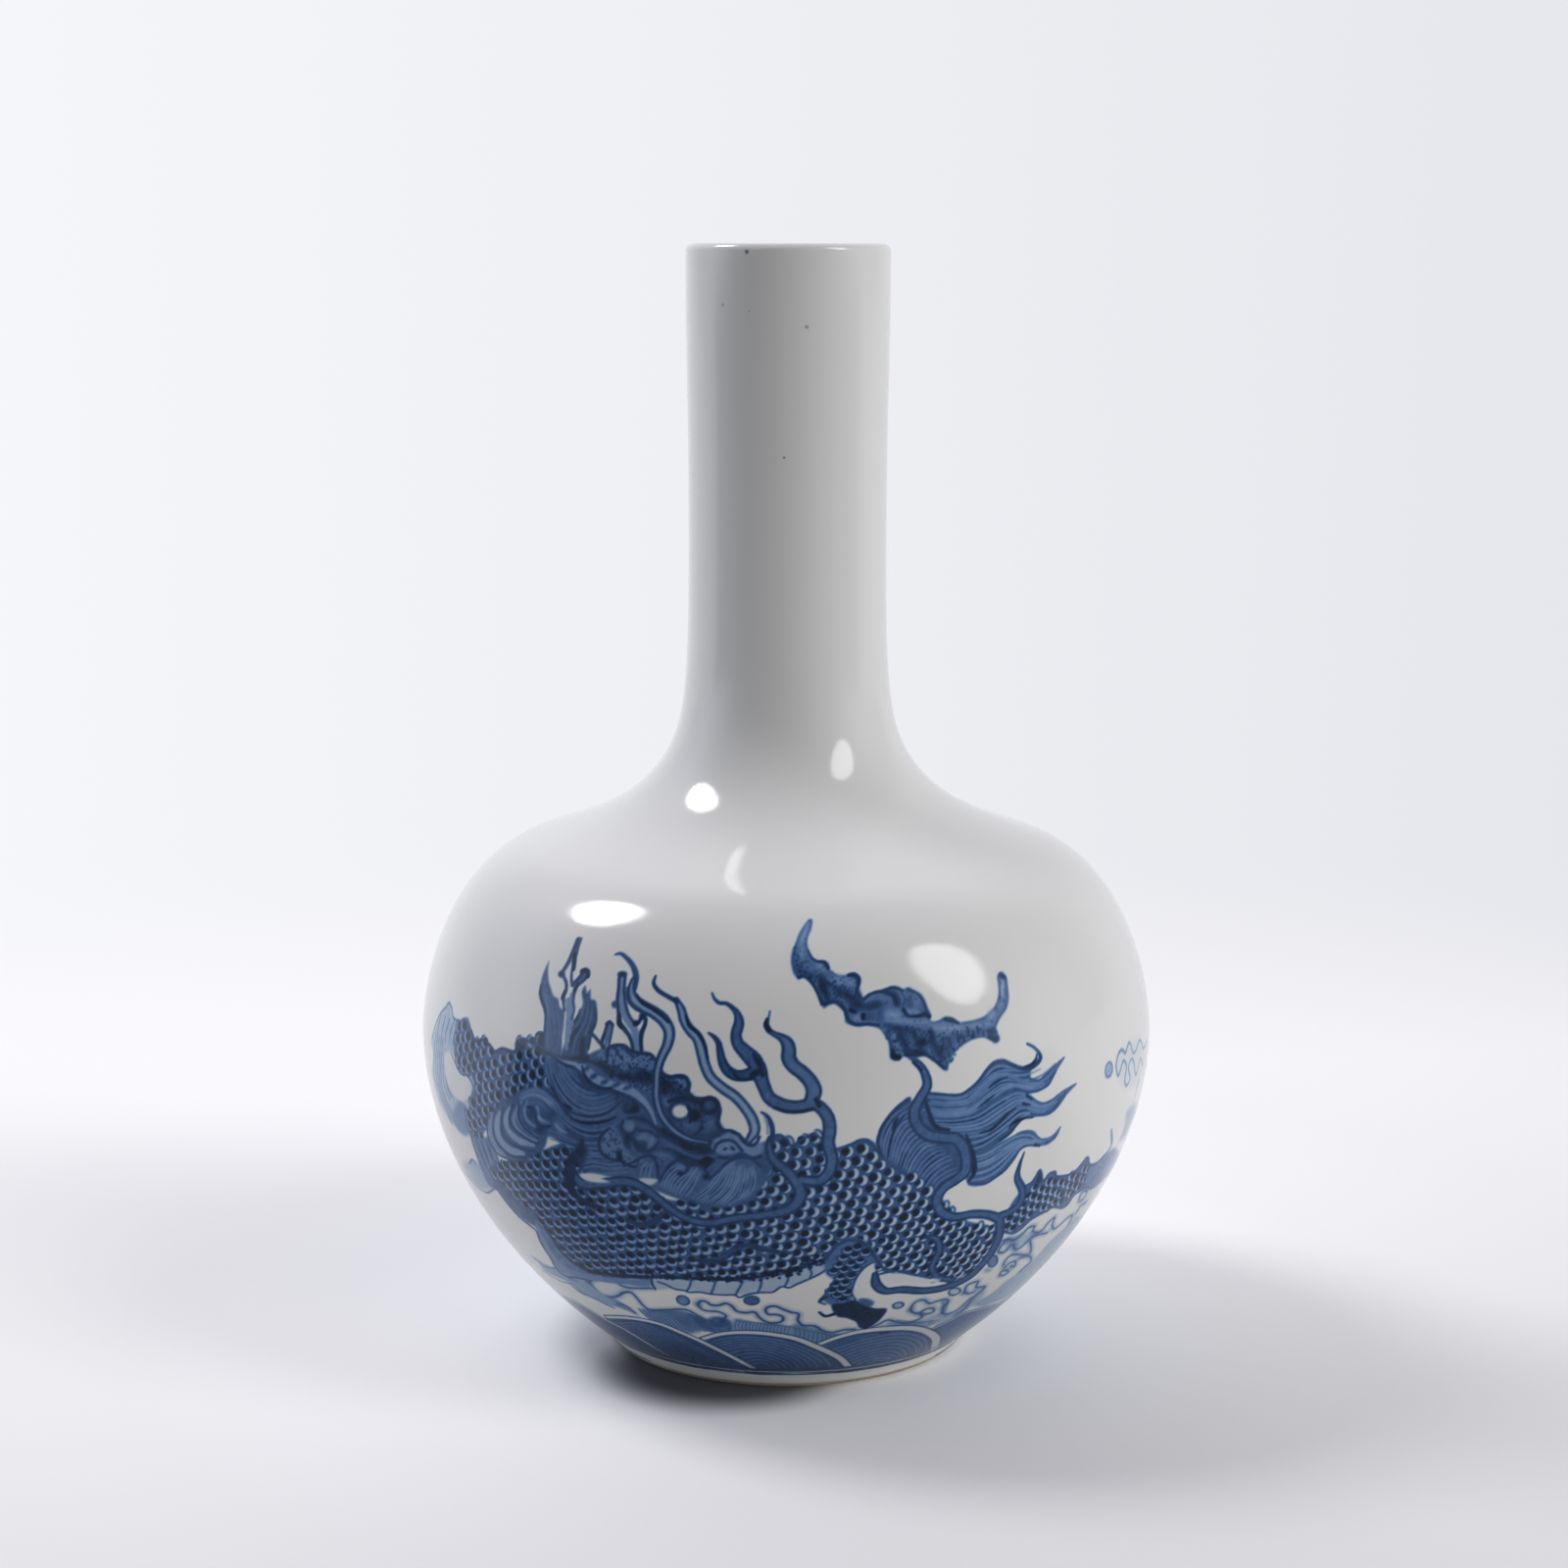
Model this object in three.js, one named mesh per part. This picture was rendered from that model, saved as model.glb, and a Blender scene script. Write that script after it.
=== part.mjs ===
// Long-neck porcelain vase: a globular body thrown in two halves, a tall neck, and the glaze that covers them.
// Millimetres, +Z up, the origin at the middle of the foot's ground plane.
import * as THREE from "three";

// Overall sizes of the glazed vase
const totalHeight = 330;
const bellyRadius = 110;
const bellyHeight = 96.5;
const shoulderRadius = 78.5;
const shoulderHeight = 153.5;
const neckRootRadius = 32.5;
const neckRootHeight = 189;
const neckWaistRadius = 29.4;
const neckWaistHeight = 257;
const mouthRadius = 30.1;
const lipRound = 2.2;

// Turned foot ring
const footTopRadius = 55.5;
const footFlare = 0.9;
const footRadius = footTopRadius - footFlare;
const footHeight = 2.8;
const footRimWidth = 7;
const footWellDepth = 5.2;
const footWellFillet = 2.5;
const footRimBevel = 0.6;
const bareRimHeight = 1.2;

// Walls, measured through the clay and both glazes
const floorThickness = 6;
const bellyWall = 6.4;
const shoulderWall = 5.6;
const neckRootWall = 5;
const neckWaistWall = 4.4;

// Glaze, luting slip and the fine clearance that keeps neighbouring layers apart
const glazeThickness = 0.4;
const bondGap = 0.05;
const lutingSlip = 0.8;
const lutingRidge = 1.5;
const lipSeam = 0.1;

// Lean of the outline at each station, up from the outward horizontal
const degree = Math.PI / 180;
const bodyRiseLean = 38 * degree;
const uprightLean = 90 * degree;
const shoulderLean = 159.5 * degree;
const neckRootLean = 105 * degree;

// How finely the round forms are cut
const roundSteps = 44;
const lipSteps = 3;
const filletSteps = 3;

// Stations of the outline, foot to mouth: where it passes, how it leans and how thick the wall is there
const wellCeiling = footWellDepth;
const floorTop = footWellDepth + floorThickness;
const footCornerWall = (floorTop - footHeight) / Math.cos(bodyRiseLean);
const stations = [
  { radius: footTopRadius, height: footHeight, lean: bodyRiseLean, wall: footCornerWall },
  { radius: bellyRadius, height: bellyHeight, lean: uprightLean, wall: bellyWall },
  { radius: shoulderRadius, height: shoulderHeight, lean: shoulderLean, wall: shoulderWall },
  { radius: neckRootRadius, height: neckRootHeight, lean: neckRootLean, wall: neckRootWall },
  { radius: neckWaistRadius, height: neckWaistHeight, lean: uprightLean, wall: neckWaistWall },
  { radius: mouthRadius, height: totalHeight - lipRound, lean: uprightLean, wall: 2 * lipRound },
];

// Between two stations the outline is one smooth curve. A pull is how far each end's lean carries into
// the span, as a share of the straight distance between the stations.
const spans = [
  { leavePullShare: 0.45, arrivePullShare: 0.26, steps: 6 },
  { leavePullShare: 0.22, arrivePullShare: 0.4, steps: 5 },
  { leavePullShare: 0.26, arrivePullShare: 0.44, steps: 6 },
  { leavePullShare: 0.2, arrivePullShare: 0.35, steps: 3 },
  { leavePullShare: 0.37, arrivePullShare: 0.45, steps: 1 },
];

const at = (radius, height) => new THREE.Vector2(radius, height);
const heading = (lean) => at(Math.cos(lean), Math.sin(lean));

// The curve between two stations.
function spanCurve(from, to, span) {
  const start = at(from.radius, from.height);
  const end = at(to.radius, to.height);
  const reach = start.distanceTo(end);
  const leave = start.clone().addScaledVector(heading(from.lean), span.leavePullShare * reach);
  const arrive = end.clone().addScaledVector(heading(to.lean), -span.arrivePullShare * reach);
  return new THREE.CubicBezierCurve(start, leave, arrive, end);
}

// Points along an arc of the section, angles up from the outward horizontal.
function arc(centre, radius, fromAngle, toAngle, steps) {
  const points = [];
  for (let i = 0; i <= steps; i++) {
    const angle = THREE.MathUtils.lerp(fromAngle, toAngle, i / steps);
    points.push(centre.clone().addScaledVector(heading(angle), radius));
  }
  return points;
}

// A line moved sideways, towards its left as it runs, by one distance or by one for each point.
// Every stretch stays parallel to the stretch that it came from where the distance is even.
function moved(line, distance) {
  return line.map((point, i) => {
    const before = point.clone().sub(line[i - 1] ?? point);
    const after = (line[i + 1] ?? point).clone().sub(point);
    const run = before.length() ? before.normalize() : after.clone().normalize();
    const next = after.length() ? after.normalize() : run.clone();
    const middle = run.clone().add(next).normalize();
    const side = at(-middle.y, middle.x);
    const amount = Array.isArray(distance) ? distance[i] : distance;
    return point.clone().addScaledVector(side, amount / middle.dot(run));
  });
}

// The point on the stretch from one point towards another, a set distance along.
const along = (from, to, distance) =>
  from.clone().addScaledVector(to.clone().sub(from).normalize(), distance);

// Sampled outline of the outer face from the foot's top corner to the start of the lip's round,
// with the wall's thickness at each sample and the place of each station among the samples.
const outline = [at(stations[0].radius, stations[0].height)];
const walls = [stations[0].wall];
const stationPlace = [0];
spans.forEach((span, s) => {
  const curve = spanCurve(stations[s], stations[s + 1], span);
  for (let i = 1; i <= span.steps; i++) {
    outline.push(curve.getPoint(i / span.steps));
    walls.push(THREE.MathUtils.lerp(stations[s].wall, stations[s + 1].wall, i / span.steps));
  }
  stationPlace.push(outline.length - 1);
});
const bellyPlace = stationPlace[1];
const neckRootPlace = stationPlace[3];

const lipCentre = at(mouthRadius - lipRound, totalHeight - lipRound);
const seamAngle = lipSeam / (2 * lipRound);

// The outer face sunk by a depth, from the lower edge of the glaze up the wall to the crest of the lip
const footFace = at(footTopRadius, footHeight).sub(at(footRadius, 0)).normalize();
const glazeEdge = at(footRadius, 0).addScaledVector(footFace, bareRimHeight / footFace.y);
const outerWall = [glazeEdge, ...outline];
const outerFirst = 1;
const outerFace = (depth) => [
  ...moved(outerWall, depth).slice(0, -1),
  ...arc(lipCentre, lipRound - depth, 0, uprightLean - seamAngle, lipSteps),
];

// The inner face sunk by a depth, from the middle of the floor up the wall to the crest of the lip
const innerRise = moved(outline, walls);
innerRise[0] = at(innerRise[0].x, floorTop);
const innerWall = [at(0, floorTop), ...innerRise];
const innerFirst = 1;
const innerFace = (depth) => [
  ...moved(innerWall, -depth).slice(0, -1),
  ...arc(lipCentre, lipRound - depth, 2 * uprightLean, uprightLean + seamAngle, lipSteps),
];

// The clay's own faces lie under the glaze
const clayDepth = glazeThickness + bondGap;
const clayOutside = outerFace(clayDepth);
const clayInside = innerFace(clayDepth);

// The three points across a luted rim: outer corner, ridge in the middle of the wall, inner corner.
// The offset runs up the wall from the joint's own plane.
function lutedRim(place, offset) {
  const pick = (line, first) => {
    const here = line[place + first];
    const towards = line[place + first + Math.sign(offset)];
    return along(here, towards, Math.abs(offset));
  };
  const outer = pick(clayOutside, outerFirst);
  const inner = pick(clayInside, innerFirst);
  const across = outer.clone().sub(inner).normalize();
  const ridge = outer.clone().lerp(inner, 0.5).addScaledVector(at(-across.y, across.x), lutingRidge);
  return [outer, ridge, inner];
}

// The recessed underside of the foot, from the middle out to the ground, moved inwards by a depth.
const wellRadius = footRadius - footRimWidth;
function footWell(depth, lowestHeight) {
  const filletCentre = at(wellRadius - footWellFillet, wellCeiling - footWellFillet);
  return [
    at(0, wellCeiling - depth),
    ...arc(filletCentre, footWellFillet - depth, uprightLean, 0, filletSteps),
    at(wellRadius - depth, lowestHeight),
  ];
}

// Lower half of the body: foot ring, floor and bowl up to the luted rim at the belly.
function lowerBodyProfile() {
  const rimFace = along(clayOutside[1], clayOutside[0], 1).sub(clayOutside[1]);
  const rimTop = clayOutside[0];
  const bevelTop = rimTop.clone().addScaledVector(rimFace, (rimTop.y - footRimBevel) / -rimFace.y);
  const bowlOutside = clayOutside.slice(0, bellyPlace + outerFirst);
  const bowlInside = clayInside.slice(0, bellyPlace + innerFirst);
  return [
    ...footWell(0, footRimBevel),
    at(wellRadius + footRimBevel, 0),
    at(bevelTop.x - footRimBevel, 0),
    bevelTop,
    ...bowlOutside,
    ...lutedRim(bellyPlace, -lutingSlip / 2 - bondGap),
    ...bowlInside.reverse(),
  ];
}

// Upper half of the body: the dome from the belly over the shoulder to the root of the neck.
function upperBodyProfile() {
  const domeOutside = clayOutside.slice(bellyPlace + outerFirst + 1, neckRootPlace + outerFirst);
  const domeInside = clayInside.slice(bellyPlace + innerFirst + 1, neckRootPlace + innerFirst);
  const foot = lutedRim(bellyPlace, lutingSlip / 2 + bondGap);
  return [
    ...foot.reverse(),
    ...domeOutside,
    ...lutedRim(neckRootPlace, -lutingSlip / 2 - bondGap),
    ...domeInside.reverse(),
  ];
}

// Neck: the tube from its luted root to the rounded lip.
function neckProfile() {
  const tubeOutside = clayOutside.slice(neckRootPlace + outerFirst + 1, -lipSteps - 1);
  const tubeInside = clayInside.slice(neckRootPlace + innerFirst + 1, -lipSteps - 1);
  const lip = arc(lipCentre, lipRound - clayDepth, 0, 2 * uprightLean, 2 * lipSteps);
  const root = lutedRim(neckRootPlace, lutingSlip / 2 + bondGap);
  return [...root.reverse(), ...tubeOutside, ...lip, ...tubeInside.reverse()];
}

// Ring of slip that fills a luted joint.
function slipProfile(place) {
  const below = lutedRim(place, -lutingSlip / 2);
  const above = lutedRim(place, lutingSlip / 2);
  return [
    ...below.reverse(),
    clayOutside[place + outerFirst],
    ...above,
    clayInside[place + innerFirst],
  ];
}

// The glaze layer over a face, given as its line at each depth.
const layerProfile = (face) => [...face(0), ...face(glazeThickness).reverse()];

// Glaze in the recess under the foot, down the inside of the ring as far as the bare rim.
const wellGlazeProfile = () => [
  ...footWell(clayDepth, bareRimHeight),
  ...footWell(bondGap, bareRimHeight).reverse(),
];

// A closed profile turned round the vase's axis.
function turned(name, profile, material) {
  const closed = profile[0].x || profile.at(-1).x ? [...profile, profile[0]] : profile;
  const geometry = new THREE.LatheGeometry(closed, roundSteps).rotateX(uprightLean);
  const mesh = new THREE.Mesh(geometry, material);
  mesh.name = name;
  return mesh;
}

const porcelain = new THREE.MeshStandardMaterial({ color: 0xe6e1d8, roughness: 0.8, metalness: 0 });
const slip = new THREE.MeshStandardMaterial({ color: 0xddd6c9, roughness: 0.9, metalness: 0 });
const paintedGlaze = new THREE.MeshStandardMaterial({ color: 0xc3cbd8, roughness: 0.12, metalness: 0 });
const plainGlaze = new THREE.MeshStandardMaterial({ color: 0xd9dedf, roughness: 0.15, metalness: 0 });

const group = new THREE.Group();
group.add(
  turned("lower_body", lowerBodyProfile(), porcelain),
  turned("upper_body", upperBodyProfile(), porcelain),
  turned("neck", neckProfile(), porcelain),
  turned("waist_luting_slip", slipProfile(bellyPlace), slip),
  turned("neck_luting_slip", slipProfile(neckRootPlace), slip),
  turned("outer_glaze", layerProfile(outerFace), paintedGlaze),
  turned("inner_glaze", layerProfile(innerFace).reverse(), plainGlaze),
  turned("foot_well_glaze", wellGlazeProfile(), plainGlaze),
);

export default group;
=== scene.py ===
"""A blue and white long-neck vase, dressed and lit for its photograph.

The painting is drawn stroke by stroke on an unrolled sheet of the glaze. Its strokes are placed in the
photograph's pixels and met with the vase's outline, so the painting lies on the vase as it does in the
picture. Its density is kept on the fine mesh of the glaze as a value for each point.
"""

import logging
import math
from dataclasses import dataclass, field
from enum import Enum
from typing import Optional, Sequence, Union

import bpy
import numpy as np
from mathutils import Matrix

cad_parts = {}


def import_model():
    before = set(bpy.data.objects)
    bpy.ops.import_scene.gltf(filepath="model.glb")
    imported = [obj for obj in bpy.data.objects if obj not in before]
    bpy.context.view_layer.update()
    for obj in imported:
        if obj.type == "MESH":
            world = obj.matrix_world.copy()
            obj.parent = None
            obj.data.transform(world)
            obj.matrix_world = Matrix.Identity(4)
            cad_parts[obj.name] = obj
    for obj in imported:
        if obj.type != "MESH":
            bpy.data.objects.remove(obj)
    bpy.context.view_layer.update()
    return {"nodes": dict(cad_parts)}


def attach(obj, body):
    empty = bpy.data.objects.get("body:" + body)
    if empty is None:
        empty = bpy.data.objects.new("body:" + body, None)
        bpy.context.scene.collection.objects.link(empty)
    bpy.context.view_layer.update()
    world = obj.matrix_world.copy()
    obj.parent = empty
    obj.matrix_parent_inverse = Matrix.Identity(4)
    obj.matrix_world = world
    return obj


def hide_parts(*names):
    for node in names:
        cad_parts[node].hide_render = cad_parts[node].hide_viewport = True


log = logging.getLogger("vase")
MM = 0.001
INK_NAME = "cobalt"


@dataclass(frozen=True)
class Station:
    """One place that the outline passes.

    Sizes are in millimetres. The lean is in degrees, up from the outward horizontal. The pulls say how far
    the lean carries into the span before and after the station, as shares of that span's straight length.
    """

    radius: float
    height: float
    lean: float
    pull_before: float = 0.0
    pull_after: float = 0.0


@dataclass
class Meridian:
    """The outside of the glazed vase in section, from the glaze's lower edge to the crest of the lip."""

    foot_radius: float = 54.6
    bare_rim_height: float = 1.2
    lip_round: float = 2.2
    foot: Station = Station(55.5, 2.8, 38.0, 0.0, 0.45)
    belly: Station = Station(110.0, 96.5, 90.0, 0.26, 0.22)
    shoulder: Station = Station(78.5, 153.5, 159.5, 0.4, 0.26)
    neck_root: Station = Station(32.5, 189.0, 105.0, 0.44, 0.2)
    neck_waist: Station = Station(29.4, 257.0, 90.0, 0.35, 0.37)
    mouth: Station = Station(30.1, 327.8, 90.0, 0.45, 0.0)
    span_samples: int = 400
    lip_samples: int = 24

    def __post_init__(self) -> None:
        """Samples the section finely and measures the way along it."""
        flare = (self.foot.radius - self.foot_radius) / self.foot.height
        edge = (self.foot_radius + flare * self.bare_rim_height, self.bare_rim_height)
        stations = (self.foot, self.belly, self.shoulder, self.neck_root, self.neck_waist, self.mouth)
        runs = [np.array([edge])]
        for low, high in zip(stations, stations[1:]):
            runs.append(self._span(low, high))
        runs.append(self.lip(0.0, 90.0))
        line = np.vstack(runs)
        self.radii = line[:, 0]
        self.heights = line[:, 1]
        steps = np.hypot(np.diff(self.radii), np.diff(self.heights))
        self.ways = np.concatenate([[0.0], np.cumsum(steps)])

    def _span(self, low: Station, high: Station) -> np.ndarray:
        """The smooth curve between two stations.

        Args:
            low: The station that the curve leaves.
            high: The station that it reaches.

        Returns:
            Rows of radius and height, without the last point.
        """
        start = np.array([low.radius, low.height])
        end = np.array([high.radius, high.height])
        reach = math.dist(start, end)
        leave = start + low.pull_after * reach * heading(low.lean)
        arrive = end - high.pull_before * reach * heading(high.lean)
        t = np.linspace(0.0, 1.0, self.span_samples, endpoint=False)[:, None]
        return (1 - t) ** 3 * start + 3 * (1 - t) ** 2 * t * leave + 3 * (1 - t) * t**2 * arrive + t**3 * end

    def lip(self, start: float, end: float) -> np.ndarray:
        """Points round the lip.

        Args:
            start: The angle of the first in degrees, 0 outside and 90 on the crest.
            end: The angle of the last.

        Returns:
            Rows of radius and height.
        """
        angles = np.radians(np.linspace(start, end, self.lip_samples))
        radius = self.mouth.radius - self.lip_round + self.lip_round * np.cos(angles)
        return np.stack([radius, self.mouth.height + self.lip_round * np.sin(angles)], axis=1)

    def radius_at_height(self, height: np.ndarray) -> np.ndarray:
        """Radius of the outside at each height."""
        return np.interp(height, self.heights, self.radii)

    def way_at_height(self, height: np.ndarray) -> np.ndarray:
        """Distance along the section at each height."""
        return np.interp(height, self.heights, self.ways)

    def radius_at(self, way: np.ndarray) -> np.ndarray:
        """Radius at each distance along the section."""
        return np.interp(way, self.ways, self.radii)

    def height_at(self, way: np.ndarray) -> np.ndarray:
        """Height at each distance along the section."""
        return np.interp(way, self.ways, self.heights)


def heading(lean: float) -> np.ndarray:
    """Unit direction in the section for a lean in degrees."""
    return np.array([math.cos(math.radians(lean)), math.sin(math.radians(lean))])


@dataclass
class PhotoView:
    """The photograph's camera, found from the outline. Millimetres, degrees and photograph pixels."""

    distance: float = 920.0
    height: float = 328.3
    pitch: float = 9.78
    aside: float = -0.87
    roll: float = 0.137
    focal: float = 3167.0
    frame: float = 1600.0

    def project(self, points: np.ndarray) -> np.ndarray:
        """Photograph pixels of points.

        Args:
            points: Rows of x, y and z.

        Returns:
            Rows of pixel x and y, down the picture.
        """
        x = points[..., 0] - self.aside
        y = points[..., 1] + self.distance
        z = points[..., 2] - self.height
        cos, sin = math.cos(math.radians(self.pitch)), math.sin(math.radians(self.pitch))
        depth = y * cos - z * sin
        right = self.focal * x / depth
        down = -self.focal * (y * sin + z * cos) / depth
        turn = math.radians(self.roll)
        middle = self.frame / 2
        return np.stack(
            [
                middle + right * math.cos(turn) - down * math.sin(turn),
                middle + right * math.sin(turn) + down * math.cos(turn),
            ],
            axis=-1,
        )

    def rays(self, pixels: np.ndarray) -> np.ndarray:
        """Directions from the camera through pixels, with a step of one along the view.

        Args:
            pixels: Rows of pixel x and y.

        Returns:
            Rows of direction x, y and z.
        """
        middle = self.frame / 2
        turn = math.radians(self.roll)
        across, down = pixels[..., 0] - middle, pixels[..., 1] - middle
        right = across * math.cos(turn) + down * math.sin(turn)
        fall = -across * math.sin(turn) + down * math.cos(turn)
        cos, sin = math.cos(math.radians(self.pitch)), math.sin(math.radians(self.pitch))
        x, up = right / self.focal, -fall / self.focal
        return np.stack([x, cos + up * sin, -sin + up * cos], axis=-1)


@dataclass
class Surface:
    """Meets the photograph's rays with the outside of the vase.

    The search starts and ends at shares of the belly's radius before and past the axis.
    """

    meridian: Meridian
    view: PhotoView
    search_before: float = 1.15
    search_past: float = 0.3
    coarse_steps: int = 160
    halvings: int = 18

    def places(self, pixels: np.ndarray) -> np.ndarray:
        """Where the photograph's pixels lie on the vase.

        A pixel just outside the outline is taken to the nearest edge.

        Args:
            pixels: Rows of pixel x and y.

        Returns:
            Rows of angle round the axis, 0 at the front, and distance along the section.
        """
        pixels = np.atleast_2d(np.asarray(pixels, float))
        rays = self.view.rays(pixels)
        eye = np.array([self.view.aside, -self.view.distance, self.view.height])
        near = self.view.distance - self.search_before * self.meridian.belly.radius
        far = self.view.distance + self.search_past * self.meridian.belly.radius
        t = np.linspace(near, far, self.coarse_steps)
        gap = self._gap(eye, rays, t[None, :])
        inside = gap < 0
        hit = inside.any(axis=1)
        first = np.where(hit, inside.argmax(axis=1), gap.argmin(axis=1))
        high = t[first]
        low = np.where(hit, t[np.maximum(first - 1, 0)], high)
        for _ in range(self.halvings):
            middle = (low + high) / 2
            within = self._gap(eye, rays, middle[:, None])[:, 0] < 0
            high = np.where(hit & within, middle, high)
            low = np.where(hit & ~within, middle, low)
        points = eye + rays * high[:, None]
        angle = np.arctan2(points[:, 0], -points[:, 1])
        return np.stack([angle, self.meridian.way_at_height(points[:, 2])], axis=1)

    def _gap(self, eye: np.ndarray, rays: np.ndarray, t: np.ndarray) -> np.ndarray:
        """How far outside the vase points along rays lie, level with them.

        Args:
            eye: Where the rays start.
            rays: Their directions.
            t: How far along them the points are.

        Returns:
            The gaps, negative inside the vase.
        """
        x = eye[0] + rays[:, :1] * t
        y = eye[1] + rays[:, 1:2] * t
        z = eye[2] + rays[:, 2:] * t
        radius = self.meridian.radius_at_height(z)
        radius = np.where(z < 0, 0.0, radius)
        return np.hypot(x, y) - radius


Line = Union[Sequence[tuple], np.ndarray]
Widths = Union[float, Sequence[float], np.ndarray]
Cover = tuple[slice, slice, np.ndarray]
SAME_SPOT = 1e-6
TINY = 1e-9
CORNER_PULL = 0.9


class Laying(Enum):
    """How a stroke meets the paint under it."""

    OVER = "over"
    SOAK = "soak"


def curve(points: Line, closed: bool = False, gap: float = 2.5) -> np.ndarray:
    """A smooth line through points.

    Two equal points in a row make a corner. Columns after the first two, such as a width, are carried along.

    Args:
        points: The points.
        closed: Whether the line ends where it starts.
        gap: Longest step between two of its points.

    Returns:
        Rows of the line.
    """
    knots = np.asarray(points, float)
    if closed:
        before, after = knots[-1:], knots[:2]
    else:
        before, after = knots[:1], knots[-1:]
    line = np.vstack([before, knots, after])
    out = []
    for a, b, c, d in zip(line, line[1:], line[2:], line[3:]):
        length = math.dist(b[:2], c[:2])
        if length < SAME_SPOT:
            continue
        count = max(2, math.ceil(length / gap))
        t = np.linspace(0, 1, count, endpoint=False)[:, None]
        da = max(math.dist(a[:2], b[:2]), TINY) ** 0.5
        db = length**0.5
        dc = max(math.dist(c[:2], d[:2]), TINY) ** 0.5
        if math.dist(a[:2], b[:2]) < SAME_SPOT:
            leave = (c - b) * CORNER_PULL
        else:
            leave = ((b - a) / da - (c - a) / (da + db) + (c - b) / db) * db
        if math.dist(c[:2], d[:2]) < SAME_SPOT:
            arrive = (c - b) * CORNER_PULL
        else:
            arrive = ((c - b) / db - (d - b) / (db + dc) + (d - c) / dc) * db
        h = [2 * t**3 - 3 * t**2 + 1, t**3 - 2 * t**2 + t, -2 * t**3 + 3 * t**2, t**3 - t**2]
        out.append(h[0] * b + h[1] * leave + h[2] * c + h[3] * arrive)
    if not closed:
        out.append(knots[-1:])
    return np.vstack(out)


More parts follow.
